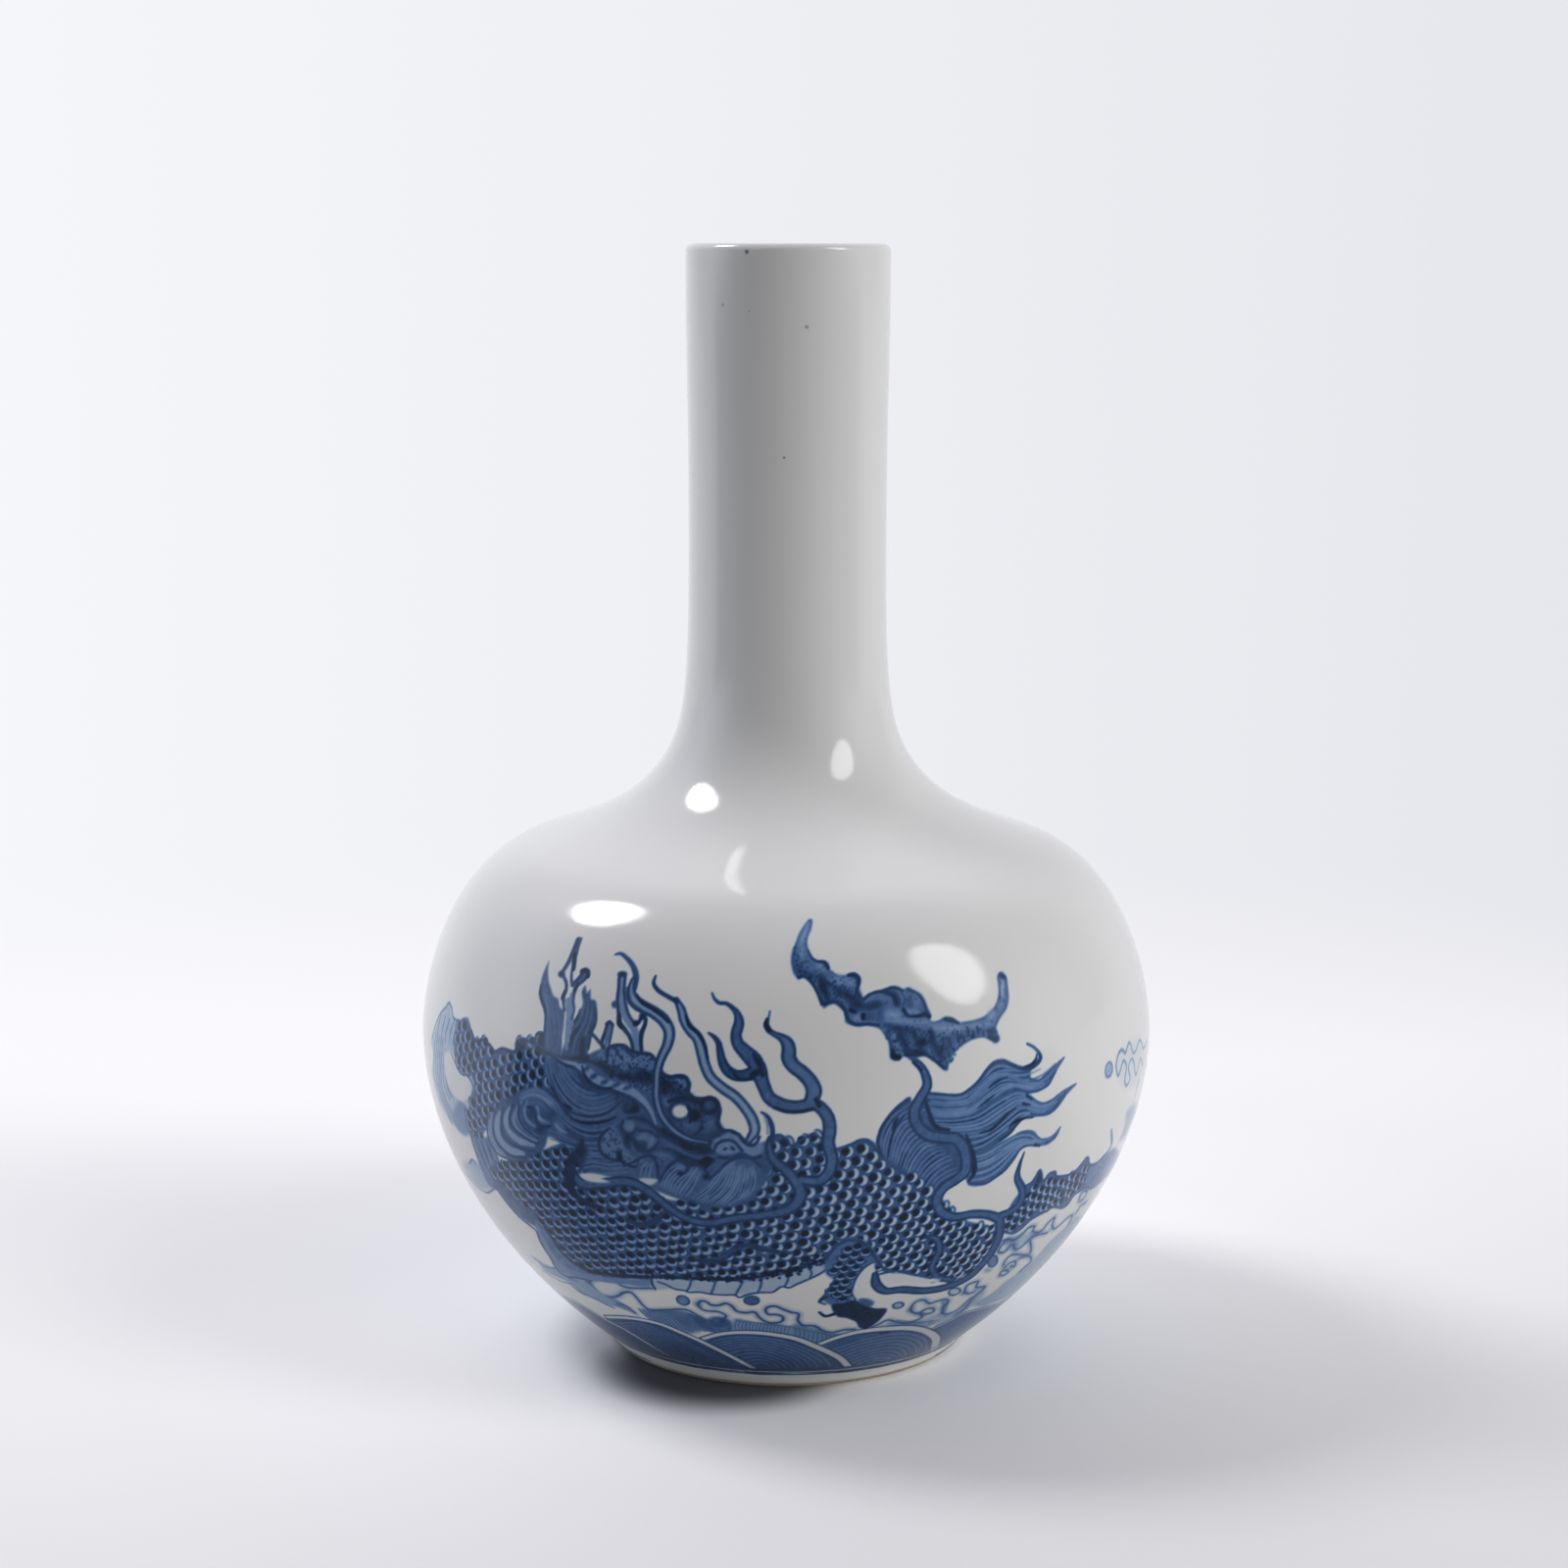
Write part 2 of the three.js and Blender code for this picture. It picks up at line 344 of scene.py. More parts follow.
@dataclass
class Sheet:
    """The paint on the front half of the vase, unrolled: rows go up along the section, columns go round."""

    surface: Surface
    pitch: float = 0.25
    reach: float = 190.0
    half_turn: float = math.pi / 2 + 0.16
    edge_cover: float = 0.999
    ink: np.ndarray = field(init=False)

    def __post_init__(self) -> None:
        """Makes the empty sheet."""
        belly = self.surface.meridian.belly.radius
        self.turn_pitch = self.pitch / belly
        self.turns = np.arange(-self.half_turn, self.half_turn, self.turn_pitch)
        self.ways = np.arange(0.0, self.reach, self.pitch)
        self.spans = self.surface.meridian.radius_at(self.ways)
        self.ink = np.zeros((len(self.ways), len(self.turns)), np.float32)

    def window(self, line: np.ndarray, margin: float) -> tuple[slice, slice]:
        """The part of the sheet round a line.

        Args:
            line: Places on the sheet.
            margin: How much is taken round it, in millimetres.

        Returns:
            Its rows and its columns.
        """
        way0, way1 = line[:, 1].min() - margin, line[:, 1].max() + margin
        r0 = int(np.clip(way0 / self.pitch, 0, len(self.ways) - 1))
        r1 = int(np.clip(way1 / self.pitch + 2, r0 + 1, len(self.ways)))
        least = self.spans[r0:r1].min()
        t0 = line[:, 0].min() - margin / least
        t1 = line[:, 0].max() + margin / least
        c0 = int(np.clip((t0 - self.turns[0]) / self.turn_pitch, 0, len(self.turns) - 1))
        c1 = int(np.clip((t1 - self.turns[0]) / self.turn_pitch + 2, c0 + 1, len(self.turns)))
        return slice(r0, r1), slice(c0, c1)

    def put(self, rows: slice, cols: slice, cover: np.ndarray, tone: float, laying: Laying) -> None:
        """Adds a stroke to the paint.

        Args:
            rows: The sheet's rows that it touches.
            cols: The columns.
            cover: How much it covers there, from 0 to 1.
            tone: Its density of colour.
            laying: How it meets the paint under it.
        """
        under = self.ink[rows, cols]
        if laying is Laying.OVER:
            self.ink[rows, cols] = under + (tone - under) * cover
        else:
            self.ink[rows, cols] = 1 - (1 - under) * (1 - tone * cover)

    def near_line(self, line: np.ndarray, halves: np.ndarray, soft: float) -> Cover:
        """Cover of a line.

        Args:
            line: Places on the sheet.
            halves: Half widths at the places, in millimetres.
            soft: Over how much the cover falls from 1 to 0, in millimetres.

        Returns:
            Rows, columns and the cover there.
        """
        rows, cols = self.window(line, halves.max() + soft)
        cover = np.zeros((rows.stop - rows.start, cols.stop - cols.start), np.float32)
        for a, b, ha, hb in zip(line, line[1:], halves, halves[1:]):
            piece = np.array([a, b])
            rr, cc = self.window(piece, max(ha, hb) + soft)
            ways, turns = self.ways[rr, None], self.turns[None, cc]
            span = self.spans[rr][:, None]
            x, y = (turns - a[0]) * span, ways - a[1]
            bx, by = (b[0] - a[0]) * span, b[1] - a[1]
            along = np.clip((x * bx + y * by) / np.maximum(bx * bx + by * by, TINY), 0, 1)
            away = np.hypot(x - along * bx, y - along * by)
            part = np.clip((ha + (hb - ha) * along - away) / soft + 0.5, 0, 1)
            r = slice(rr.start - rows.start, rr.stop - rows.start)
            c = slice(cc.start - cols.start, cc.stop - cols.start)
            np.maximum(cover[r, c], part, out=cover[r, c])
        return rows, cols, cover

    def within(self, line: np.ndarray, soft: float) -> Cover:
        """Cover of a closed area.

        Args:
            line: Places on its edge.
            soft: Over how much the cover falls from 1 to 0 across the edge, in millimetres.

        Returns:
            Rows, columns and the cover there.
        """
        ring = np.vstack([line, line[:1]])
        rows, cols = self.window(ring, soft)
        ways, turns = self.ways[rows, None], self.turns[None, cols]
        inside = np.zeros((ways.shape[0], turns.shape[1]), bool)
        for a, b in zip(ring, ring[1:]):
            if a[1] == b[1]:
                continue
            low, high = min(a[1], b[1]), max(a[1], b[1])
            r0, r1 = np.searchsorted(ways[:, 0], [low, high])
            if r1 > r0:
                cross = a[0] + (ways[r0:r1] - a[1]) / (b[1] - a[1]) * (b[0] - a[0])
                inside[r0:r1] ^= turns < cross
        edge_rows, edge_cols, edge = self.near_line(ring, np.zeros(len(ring)), soft * 2)
        down, across = edge_rows.start - rows.start, edge_cols.start - cols.start
        full = np.zeros(inside.shape, np.float32)
        top, left = max(down, 0), max(across, 0)
        bottom = min(edge_rows.stop - rows.start, full.shape[0])
        right = min(edge_cols.stop - cols.start, full.shape[1])
        full[top:bottom, left:right] = edge[top - down : bottom - down, left - across : right - across]
        return rows, cols, np.where(inside, 1 - full * self.edge_cover, full)


@dataclass(frozen=True)
class StrandHabit:
    """How strands stray between their guides, as shares of a strand's length where nothing else is said.

    The sway is a share of the pitch, and the taper's and the dark strands' widths are shares of a width.
    """

    comb_gap: float = 4.0
    comb_points: int = 28
    comb_start: tuple = (-0.03, 0.03)
    comb_end: tuple = (-0.05, 0.02)
    hair_gap: float = 3.0
    hair_points: int = 40
    fewest_points: int = 3
    sway: float = 0.07
    light_start: tuple = (0.0, 0.06)
    light_end: tuple = (0.9, 1.0)
    dark_start: tuple = (0.0, 0.5)
    dark_length: tuple = (0.3, 0.5)
    dark_width: float = 0.62
    taper_places: tuple = (0.0, 0.2, 0.8, 1.0)
    taper: tuple = (0.6, 1.0, 1.0, 0.5)
    tone_drift: float = 0.03


@dataclass(frozen=True)
class ScaleForm:
    """The form of a scale in its own half widths, apart from the blur, which is in millimetres.

    The gains and starts say how fast the disc and the crescent fade in toward the free edge. The stray is a
    share of the pitch, and a place's pull on the lean of the scales falls off from `pull_core` pixels on.
    """

    reach: float = 1.5
    blur: float = 0.3
    disc_squash: float = 0.92
    disc_gain: float = 1.6
    disc_start: float = 0.9
    inner: float = 0.8
    inner_squash: float = 0.95
    inner_gain: float = 2.2
    inner_start: float = 0.62
    eye_shift: tuple = (-0.08, 0.08)
    eye_back: float = 0.3
    eye_long: float = 1.05
    eye_wide: float = 1.1
    eye_size: float = 0.48
    eye_sizes: tuple = (0.85, 1.15)
    eye_blur: float = 1.1
    eye_tones: tuple = (0.92, 1.0)
    sizes: tuple = (0.9, 1.08)
    stray: float = 0.07
    pull_core: float = 8.0
    light_span: tuple = (620.0, 900.0)


@dataclass
class Brush:
    """Paints on the sheet with places and widths read off the photograph, in its pixels.

    The scale is in pixels to a millimetre. Spots are the size and the seed of a field of worn spots. A halo
    is the width, the share of the tone and the softness of the wash under a scroll.
    """

    sheet: Sheet
    scale: float = 3.35
    soft: float = 0.42
    seed: int = 7
    least_half: float = 0.02
    least_width: float = 0.3
    line_spots: tuple = (0.9, 3)
    area_spots: tuple = (1.2, 5)
    band_wear: float = 0.25
    core_inset: float = 3.0
    core_soft: float = 0.8
    halo: tuple = (8.0, 0.28, 1.6)
    dot_sizes: tuple = (0.6, 1.3)
    dot_soft: float = 0.35
    dot_tries: int = 3
    dot_step: float = 1e-4
    habit: StrandHabit = StrandHabit()
    scale_form: ScaleForm = ScaleForm()

    def __post_init__(self) -> None:
        """Starts the brush's own chance."""
        self.chance = np.random.default_rng(self.seed)
        self.grain = {}

    def noise(self, size: float, seed: int) -> np.ndarray:
        """A smooth field between -1 and 1 over the whole sheet.

        Args:
            size: Size of its spots in millimetres.
            seed: The field's own chance.

        Returns:
            The field.
        """
        if (size, seed) not in self.grain:
            chance = np.random.default_rng(seed)
            rows, cols = self.sheet.ink.shape
            step = size / self.sheet.pitch
            few = chance.uniform(-1, 1, (int(rows / step) + 3, int(cols / step) + 3)).astype(np.float32)
            y, x = np.arange(rows) / step, np.arange(cols) / step
            iy, ix = y.astype(int), x.astype(int)
            fy, fx = y - iy, x - ix
            fy, fx = fy * fy * (3 - 2 * fy), fx * fx * (3 - 2 * fx)
            low = few[iy][:, ix] * (1 - fx) + few[iy][:, ix + 1] * fx
            high = few[iy + 1][:, ix] * (1 - fx) + few[iy + 1][:, ix + 1] * fx
            self.grain[size, seed] = (low * (1 - fy[:, None]) + high * fy[:, None]).astype(np.float32)
        return self.grain[size, seed]

    def places(self, line: np.ndarray) -> np.ndarray:
        """Places on the sheet of a line in pixels."""
        return self.sheet.surface.places(line[:, :2])

    def line(
        self,
        points: Line,
        widths: Widths,
        tone: float,
        laying: Laying = Laying.OVER,
        soft: Optional[float] = None,
        closed: bool = False,
        wear: float = 0.0,
    ) -> None:
        """A stroke of the brush.

        Args:
            points: The points that it passes.
            widths: One width, or several that are spread evenly over the points.
            tone: Its density of colour.
            laying: How it meets the paint under it.
            soft: Softness of its edge in millimetres, the brush's own if none is given.
            closed: Whether it ends where it starts.
            wear: How much of it is worn away in spots.
        """
        knots = np.asarray(points, float)
        smooth = curve(np.column_stack([knots, spread_over(widths, len(knots))]), closed)
        if closed:
            smooth = np.vstack([smooth, smooth[:1]])
        self.stroke(self.places(smooth), smooth[:, 2] / self.scale / 2, tone, laying, soft, wear)

    def stroke(
        self,
        line: np.ndarray,
        halves: np.ndarray,
        tone: float,
        laying: Laying = Laying.OVER,
        soft: Optional[float] = None,
        wear: float = 0.0,
    ) -> None:
        """A stroke along places on the sheet.

        Args:
            line: The places.
            halves: Half widths there, in millimetres.
            tone: Its density of colour.
            laying: How it meets the paint under it.
            soft: Softness of its edge in millimetres, the brush's own if none is given.
            wear: How much of it is worn away in spots.
        """
        rows, cols, cover = self.sheet.near_line(line, np.maximum(halves, self.least_half), soft or self.soft)
        if wear:
            cover = cover * np.clip(1 + wear * self.noise(*self.line_spots)[rows, cols], 0, 1)
        self.sheet.put(rows, cols, cover, tone, laying)

    def area(
        self,
        points: Line,
        tone: float,
        laying: Laying = Laying.OVER,
        soft: Optional[float] = None,
        wear: float = 0.0,
    ) -> None:
        """A filled area.

        Args:
            points: Its outline.
            tone: Its density of colour.
            laying: How it meets the paint under it.
            soft: Softness of its edge in millimetres, the brush's own if none is given.
            wear: How much of it is worn away in spots.
        """
        line = self.places(curve(points, True))
        rows, cols, cover = self.sheet.within(line, soft or self.soft)
        if wear:
            cover = cover * np.clip(1 - wear * (0.5 + 0.5 * self.noise(*self.area_spots)[rows, cols]), 0, 1)
        self.sheet.put(rows, cols, cover, tone, laying)

    def braid(self, marks: Sequence[tuple]) -> None:
        """Ribbons that run into one another: all their edges, then all their fills.

        Args:
            marks: The points, widths, edge's and fill's tones, edge's width and core's tone of each ribbon.
        """
        for points, widths, edge, _fill, _rim, _core in marks:
            self.line(points, widths, edge)
        for points, widths, _edge, fill, rim, core in marks:
            inner = np.maximum(np.atleast_1d(widths).astype(float) - 2 * rim, self.least_width)
            self.line(points, inner, fill, wear=self.band_wear)
            if core is not None:
                inmost = np.maximum(inner - self.core_inset, self.least_width)
                self.line(points, inmost, core, soft=self.core_soft)

    def scrolls(self, marks: Sequence[tuple]) -> None:
        """Strokes over a soft wash of their own.

        Args:
            marks: The points, widths and tone of each stroke.
        """
        width, share, soft = self.halo
        for points, _widths, tone in marks:
            self.line(points, width, share * tone, Laying.SOAK, soft=soft)
        self.lines(marks)

    def comb(
        self, guides: Sequence[Line], count: int, widths: Widths, tone: float, laying: Laying = Laying.OVER
    ) -> None:
        """Strands spread evenly between guide lines.

        Args:
            guides: Lines that the strands follow, from one side to the other.
            count: How many strands there are.
            widths: Their widths from one end to the other.
            tone: Their tone.
            laying: How they meet the paint under them.
        """
        habit = self.habit
        runs = even_runs(guides, habit.comb_gap, habit.comb_points)
        top = habit.comb_points - 1
        for share in np.linspace(0, 1, count):
            k = min(int(share * (len(runs) - 1)), len(runs) - 2)
            f = share * (len(runs) - 1) - k
            strand = runs[k] * (1 - f) + runs[k + 1] * f
            first = int(max(self.chance.uniform(*habit.comb_start), 0.0) * top)
            last = int(min(1.0 + self.chance.uniform(*habit.comb_end), 1.0) * top)
            strand = strand[first : last + 1]
            width = spread_over(widths, len(strand))
            self.stroke(self.places(strand), width / self.scale / 2, tone, laying)

    def hair(
        self,
        guides: Sequence[Line],
        pitch: float = 5.0,
        light: float = 0.36,
        dark: float = 0.7,
        width: float = 2.0,
        streaks: float = 0.35,
        ends: tuple[float, float] = (0.0, 1.0),
    ) -> None:
        """Fine strands between guide lines: light ones, and thinner dark ones between some of them.

        Args:
            guides: Lines that the strands follow, from one side to the other.
            pitch: Distance between two light strands halfway along.
            light: Tone of the light strands.
            dark: Tone of the dark ones.
            width: Width of a light strand.
            streaks: Share of the gaps that hold a dark strand.
            ends: Where the strands start and end, as shares of the guides.
        """
        habit = self.habit
        runs = even_runs(guides, habit.hair_gap, habit.hair_points)
        top, halfway = habit.hair_points - 1, habit.hair_points // 2
        steps = [math.dist(a[halfway], b[halfway]) for a, b in zip(runs, runs[1:])]
        marks = np.concatenate([[0], np.cumsum(steps)])
        count = max(2, round(marks[-1] / pitch))
        for k in range(2 * count - 1):
            bright = k % 2 == 0
            if not bright and self.chance.random() > streaks:
                continue
            at = marks[-1] * (k + 0.5) / (2 * count - 1) + self.chance.normal(0, habit.sway * pitch)
            i = int(np.clip(np.searchsorted(marks, at) - 1, 0, len(runs) - 2))
            f = np.clip((at - marks[i]) / max(marks[i + 1] - marks[i], SAME_SPOT), 0, 1)
            strand = runs[i] * (1 - f) + runs[i + 1] * f
            reach = self.chance.uniform(*habit.light_start), self.chance.uniform(*habit.light_end)
            if not bright:
                start = self.chance.uniform(*habit.dark_start)
                reach = start, start + self.chance.uniform(*habit.dark_length)
            span = ends[1] - ends[0]
            first, last = (int(top * (ends[0] + span * r)) for r in reach)
            strand = strand[first : last + 1]
            if len(strand) < habit.fewest_points:
                continue
            shape = np.interp(np.linspace(0, 1, len(strand)), habit.taper_places, habit.taper)
            wide = width if bright else width * habit.dark_width
            tone = (light if bright else dark) + self.chance.normal(0, habit.tone_drift)
            self.stroke(self.places(strand), wide * shape / self.scale / 2, tone)

    def washes(self, marks: Sequence[tuple], laying: Laying = Laying.OVER) -> None:
        """Soft oval washes.

        Args:
            marks: The middle, width, height, tone, lean and softness in millimetres of each.
            laying: How they meet the paint under them.
        """
        for middle, across, down, tone, lean, soft in marks:
            self.oval(middle, across, down, tone, laying, lean, soft)

    def lines(self, marks: Sequence[tuple]) -> None:
        """Strokes, each given by its points, widths and tone."""
        for points, widths, tone in marks:
            self.line(points, widths, tone)

    def oval(
        self,
        middle: tuple[float, float],
        across: float,
        down: float,
        tone: float,
        laying: Laying = Laying.OVER,
        lean: float = 0.0,
        soft: Optional[float] = None,
    ) -> None:
        """A filled oval.

        Args:
            middle: Its middle.
            across: Its width.
            down: Its height.
            tone: Its density of colour.
            laying: How it meets the paint under it.
            lean: Its lean in degrees.
            soft: Softness of its edge in millimetres, the brush's own if none is given.
        """
        self.area(oval_line(middle, across, down, lean, 16), tone, laying, soft)

    def ring(
        self,
        middle: tuple[float, float],
        across: float,
        down: float,
        width: float,
        tone: float,
        lean: float = 0.0,
    ) -> None:
        """An oval outline.

        Args:
            middle: Its middle.
            across: Its width.
            down: Its height.
            width: Width of the line.
            tone: Its density of colour.
            lean: The oval's lean in degrees.
        """
        self.line(oval_line(middle, across, down, lean, 12), width, tone, closed=True)

    def stipple(self, points: Line, count: int, size: float, tone: float) -> None:
        """Dots of the brush's tip spread over an area.

        Args:
            points: Outline of the area.
            count: How many dots there are.
            size: Their size.
            tone: Their density of colour.
        """
        edge = curve(points, True)
        low, high = edge.min(0), edge.max(0)
        spots = self.chance.uniform(low, high, (count * self.dot_tries, 2))
        keep = spots[inside(spots, edge)][:count]
        for place in self.places(keep):
            half = size / self.scale / 2 * self.chance.uniform(*self.dot_sizes)
            dab = np.array([place, place + self.dot_step])
            self.stroke(dab, np.array([half, half]), tone, Laying.SOAK, self.dot_soft)

    def scales(
        self,
        points: Line,
        flow: Sequence[tuple],
        pitch: tuple[float, float] = (14.0, 12.0),
        size: float = 15.0,
        lean: float = 0.0,
        dot: float = 1.0,
        light: Union[float, tuple[float, float]] = 0.05,
        rim: float = 0.62,
    ) -> None:
        """Scales over an area, in staggered rows.

        Args:
            points: Outline of the area.
            flow: Rows of a place and the way that the scales' free edges point there.
            pitch: Distance between scales in a row, and between rows.
            size: Width of one scale.
            lean: Lean of the rows in degrees.
            dot: Share of the usual size that the dark eyes have.
            light: Tone of the crescents, or one at the left and one at the right.
            rim: Tone of the edges.
        """
        form = self.scale_form
        line = self.places(curve(points, True)[:, :2])
        meridian = self.sheet.surface.meridian
        span = float(meridian.radius_at(line[:, 1].mean()))
        plan = line * [span, 1.0]
        along, across = pitch[0] / self.scale, pitch[1] / self.scale
        middle = plan.mean(0)
        reach = float(np.hypot(*(plan - middle).T).max()) + along
        u = np.arange(-reach, reach, along)
        v = np.arange(-reach, reach, across)
        gu, gv = np.meshgrid(u, v)
        gu = gu + (np.arange(len(v)) % 2)[:, None] * along / 2
        gu = gu + self.chance.normal(0, form.stray * along, gu.shape)
        gv = gv + self.chance.normal(0, form.stray * across, gv.shape)
        c, s = math.cos(math.radians(lean)), math.sin(math.radians(lean))
        spots = np.column_stack([(gu * c - gv * s).ravel(), (gu * s + gv * c).ravel()]) + middle
        spots = spots[inside(spots, plan)] / [span, 1.0]
        pixels = self.pixels(spots)
        flow = np.asarray(flow, float)
        gap = np.hypot(pixels[:, None, 0] - flow[None, :, 0], pixels[:, None, 1] - flow[None, :, 1])
        gap = gap + form.pull_core
        leans = (flow[None, :, 2:] / gap[..., None] ** 3).sum(1)
        leans /= np.hypot(*leans.T)[:, None]
        order = np.argsort(-(pixels * leans.mean(0)).sum(1))
        for k in order:
            pale = light
            if isinstance(light, tuple):
                pale = float(np.interp(pixels[k][0], form.light_span, light))
            self.scale_mark(pixels[k], leans[k], size * self.chance.uniform(*form.sizes), dot, pale, rim)

    def pixels(self, spots: np.ndarray) -> np.ndarray:
        """Photograph pixels of places on the sheet.

        Args:
            spots: The places.

        Returns:
            Rows of pixel x and y.
        """
        meridian = self.sheet.surface.meridian
        radius, height = meridian.radius_at(spots[:, 1]), meridian.height_at(spots[:, 1])
        points = np.stack([radius * np.sin(spots[:, 0]), -radius * np.cos(spots[:, 0]), height], 1)
        return self.sheet.surface.view.project(points)

    def scale_mark(
        self, spot: np.ndarray, lean: np.ndarray, size: float, dot: float, light: float, rim: float
    ) -> None:
        """One scale: a dark eye, a light crescent beyond it and a thin blue edge.

        Args:
            spot: Its middle.
            lean: The way that its free edge points.
            size: Its width.
            dot: Share of the usual size that the eye has.
            light: Tone of the crescent.
            rim: Tone of the edge.
        """
        form = self.scale_form
        place, tip = self.places(np.array([spot, spot + lean * 2.0]))
        span = float(self.sheet.surface.meridian.radius_at(place[1]))
        gx, gy = (tip[0] - place[0]) * span, tip[1] - place[1]
        norm = math.hypot(gx, gy)
        if norm < SAME_SPOT:
            return
        gx, gy = gx / norm, gy / norm
        half = size / self.scale / 2
        rows, cols = self.sheet.window(np.array([place]), half * form.reach)
        x = (self.sheet.turns[None, cols] - place[0]) * self.sheet.spans[rows][:, None] / half
        y = (self.sheet.ways[rows, None] - place[1]) / half
        along, aside = x * gx + y * gy, -x * gy + y * gx
        soft = form.blur / half
        disc = np.clip((1.0 - np.hypot(along, aside * form.disc_squash)) / soft + 0.5, 0, 1)
        front = np.clip(along * form.disc_gain + form.disc_start, 0, 1)
        self.sheet.put(rows, cols, disc * front, rim, Laying.OVER)
        inner = np.clip((form.inner - np.hypot(along, aside * form.inner_squash)) / soft + 0.5, 0, 1)
        crescent = inner * np.clip(along * form.inner_gain + form.inner_start, 0, 1)
        self.sheet.put(rows, cols, crescent, light, Laying.OVER)
        shift = self.chance.uniform(*form.eye_shift)
        eye = np.hypot((along + form.eye_back) / form.eye_long, (aside + shift) / form.eye_wide)
        big = form.eye_size * dot * self.chance.uniform(*form.eye_sizes)
        pupil = np.clip((big - eye) / (soft * form.eye_blur) + 0.5, 0, 1)
        self.sheet.put(rows, cols, pupil, self.chance.uniform(*form.eye_tones), Laying.OVER)


def spread_over(widths: Widths, count: int) -> np.ndarray:
    """Widths spread evenly over so many points."""
    return np.interp(np.linspace(0, 1, count), np.linspace(0, 1, np.size(widths)), np.atleast_1d(widths))


def even_runs(guides: Sequence[Line], gap: float, count: int) -> np.ndarray:
    """Smooth lines through the points of guides, cut into even steps.

    Args:
        guides: The guides.
        gap: Longest step of the smooth lines.
        count: How many points each of them gets.

    Returns:
        The points, a block of rows for each guide.
    """
    runs = []
    for guide in guides:
        smooth = curve(guide, gap=gap)
        ways = np.concatenate([[0], np.cumsum(np.hypot(*np.diff(smooth[:, :2], axis=0).T))])
        even = np.linspace(0, ways[-1], count)
        runs.append(np.column_stack([np.interp(even, ways, smooth[:, k]) for k in (0, 1)]))
    return np.array(runs)


def oval_line(middle: tuple[float, float], across: float, down: float, lean: float, count: int) -> np.ndarray:
    """Points round an oval.

    Args:
        middle: Its middle.
        across: Its width.
        down: Its height.
        lean: Its lean in degrees.
        count: How many points there are.

    Returns:
        Rows of x and y.
    """
    turn = np.linspace(0, 2 * np.pi, count, endpoint=False)
    c, s = math.cos(math.radians(lean)), math.sin(math.radians(lean))
    x, y = across / 2 * np.cos(turn), down / 2 * np.sin(turn)
    return np.column_stack([middle[0] + x * c - y * s, middle[1] + x * s + y * c])


def inside(spots: np.ndarray, edge: np.ndarray) -> np.ndarray:
    """Which spots lie inside a closed line.

    Args:
        spots: Rows of x and y.
        edge: Points of the line.

    Returns:
        Whether each spot lies inside.
    """
    x, y = spots.T
    held = np.zeros(len(spots), bool)
    for (x0, y0), (x1, y1) in zip(edge[:, :2], np.roll(edge[:, :2], -1, axis=0)):
        if y0 != y1:
            cross = ((y0 > y) != (y1 > y)) & (x < (x1 - x0) * (y - y0) / (y1 - y0) + x0)
            held ^= cross
    return held


SOAK = Laying.SOAK


@dataclass(frozen=True)
class Wave:
    """A ringed wave: a washed field under a pale rim, with thin rings between guides.

    Widths are in the photograph's pixels.
    """

    water: Line
    rim: Line
    rim_width: Sequence[float]
    guides: Sequence[Line]
    rings: int
    tone: float
    ring_tone: float
    ring_width: tuple = (1.5, 2.1, 1.4)
    worn: float = 0.12
    edge_width: float = 3.0
    edge_tone: float = 0.74
    rim_tone: float = 0.03

    def paint(self, brush: Brush) -> None:
        """Paints the wave.

        Args:
            brush: The brush that it is painted with.
        """
        brush.area(self.water, self.tone, wear=self.worn)
        brush.comb(self.guides, self.rings, self.ring_width, self.ring_tone)
        brush.line(self.rim, [width + self.edge_width for width in self.rim_width], self.edge_tone)
        brush.line(self.rim, self.rim_width, self.rim_tone)


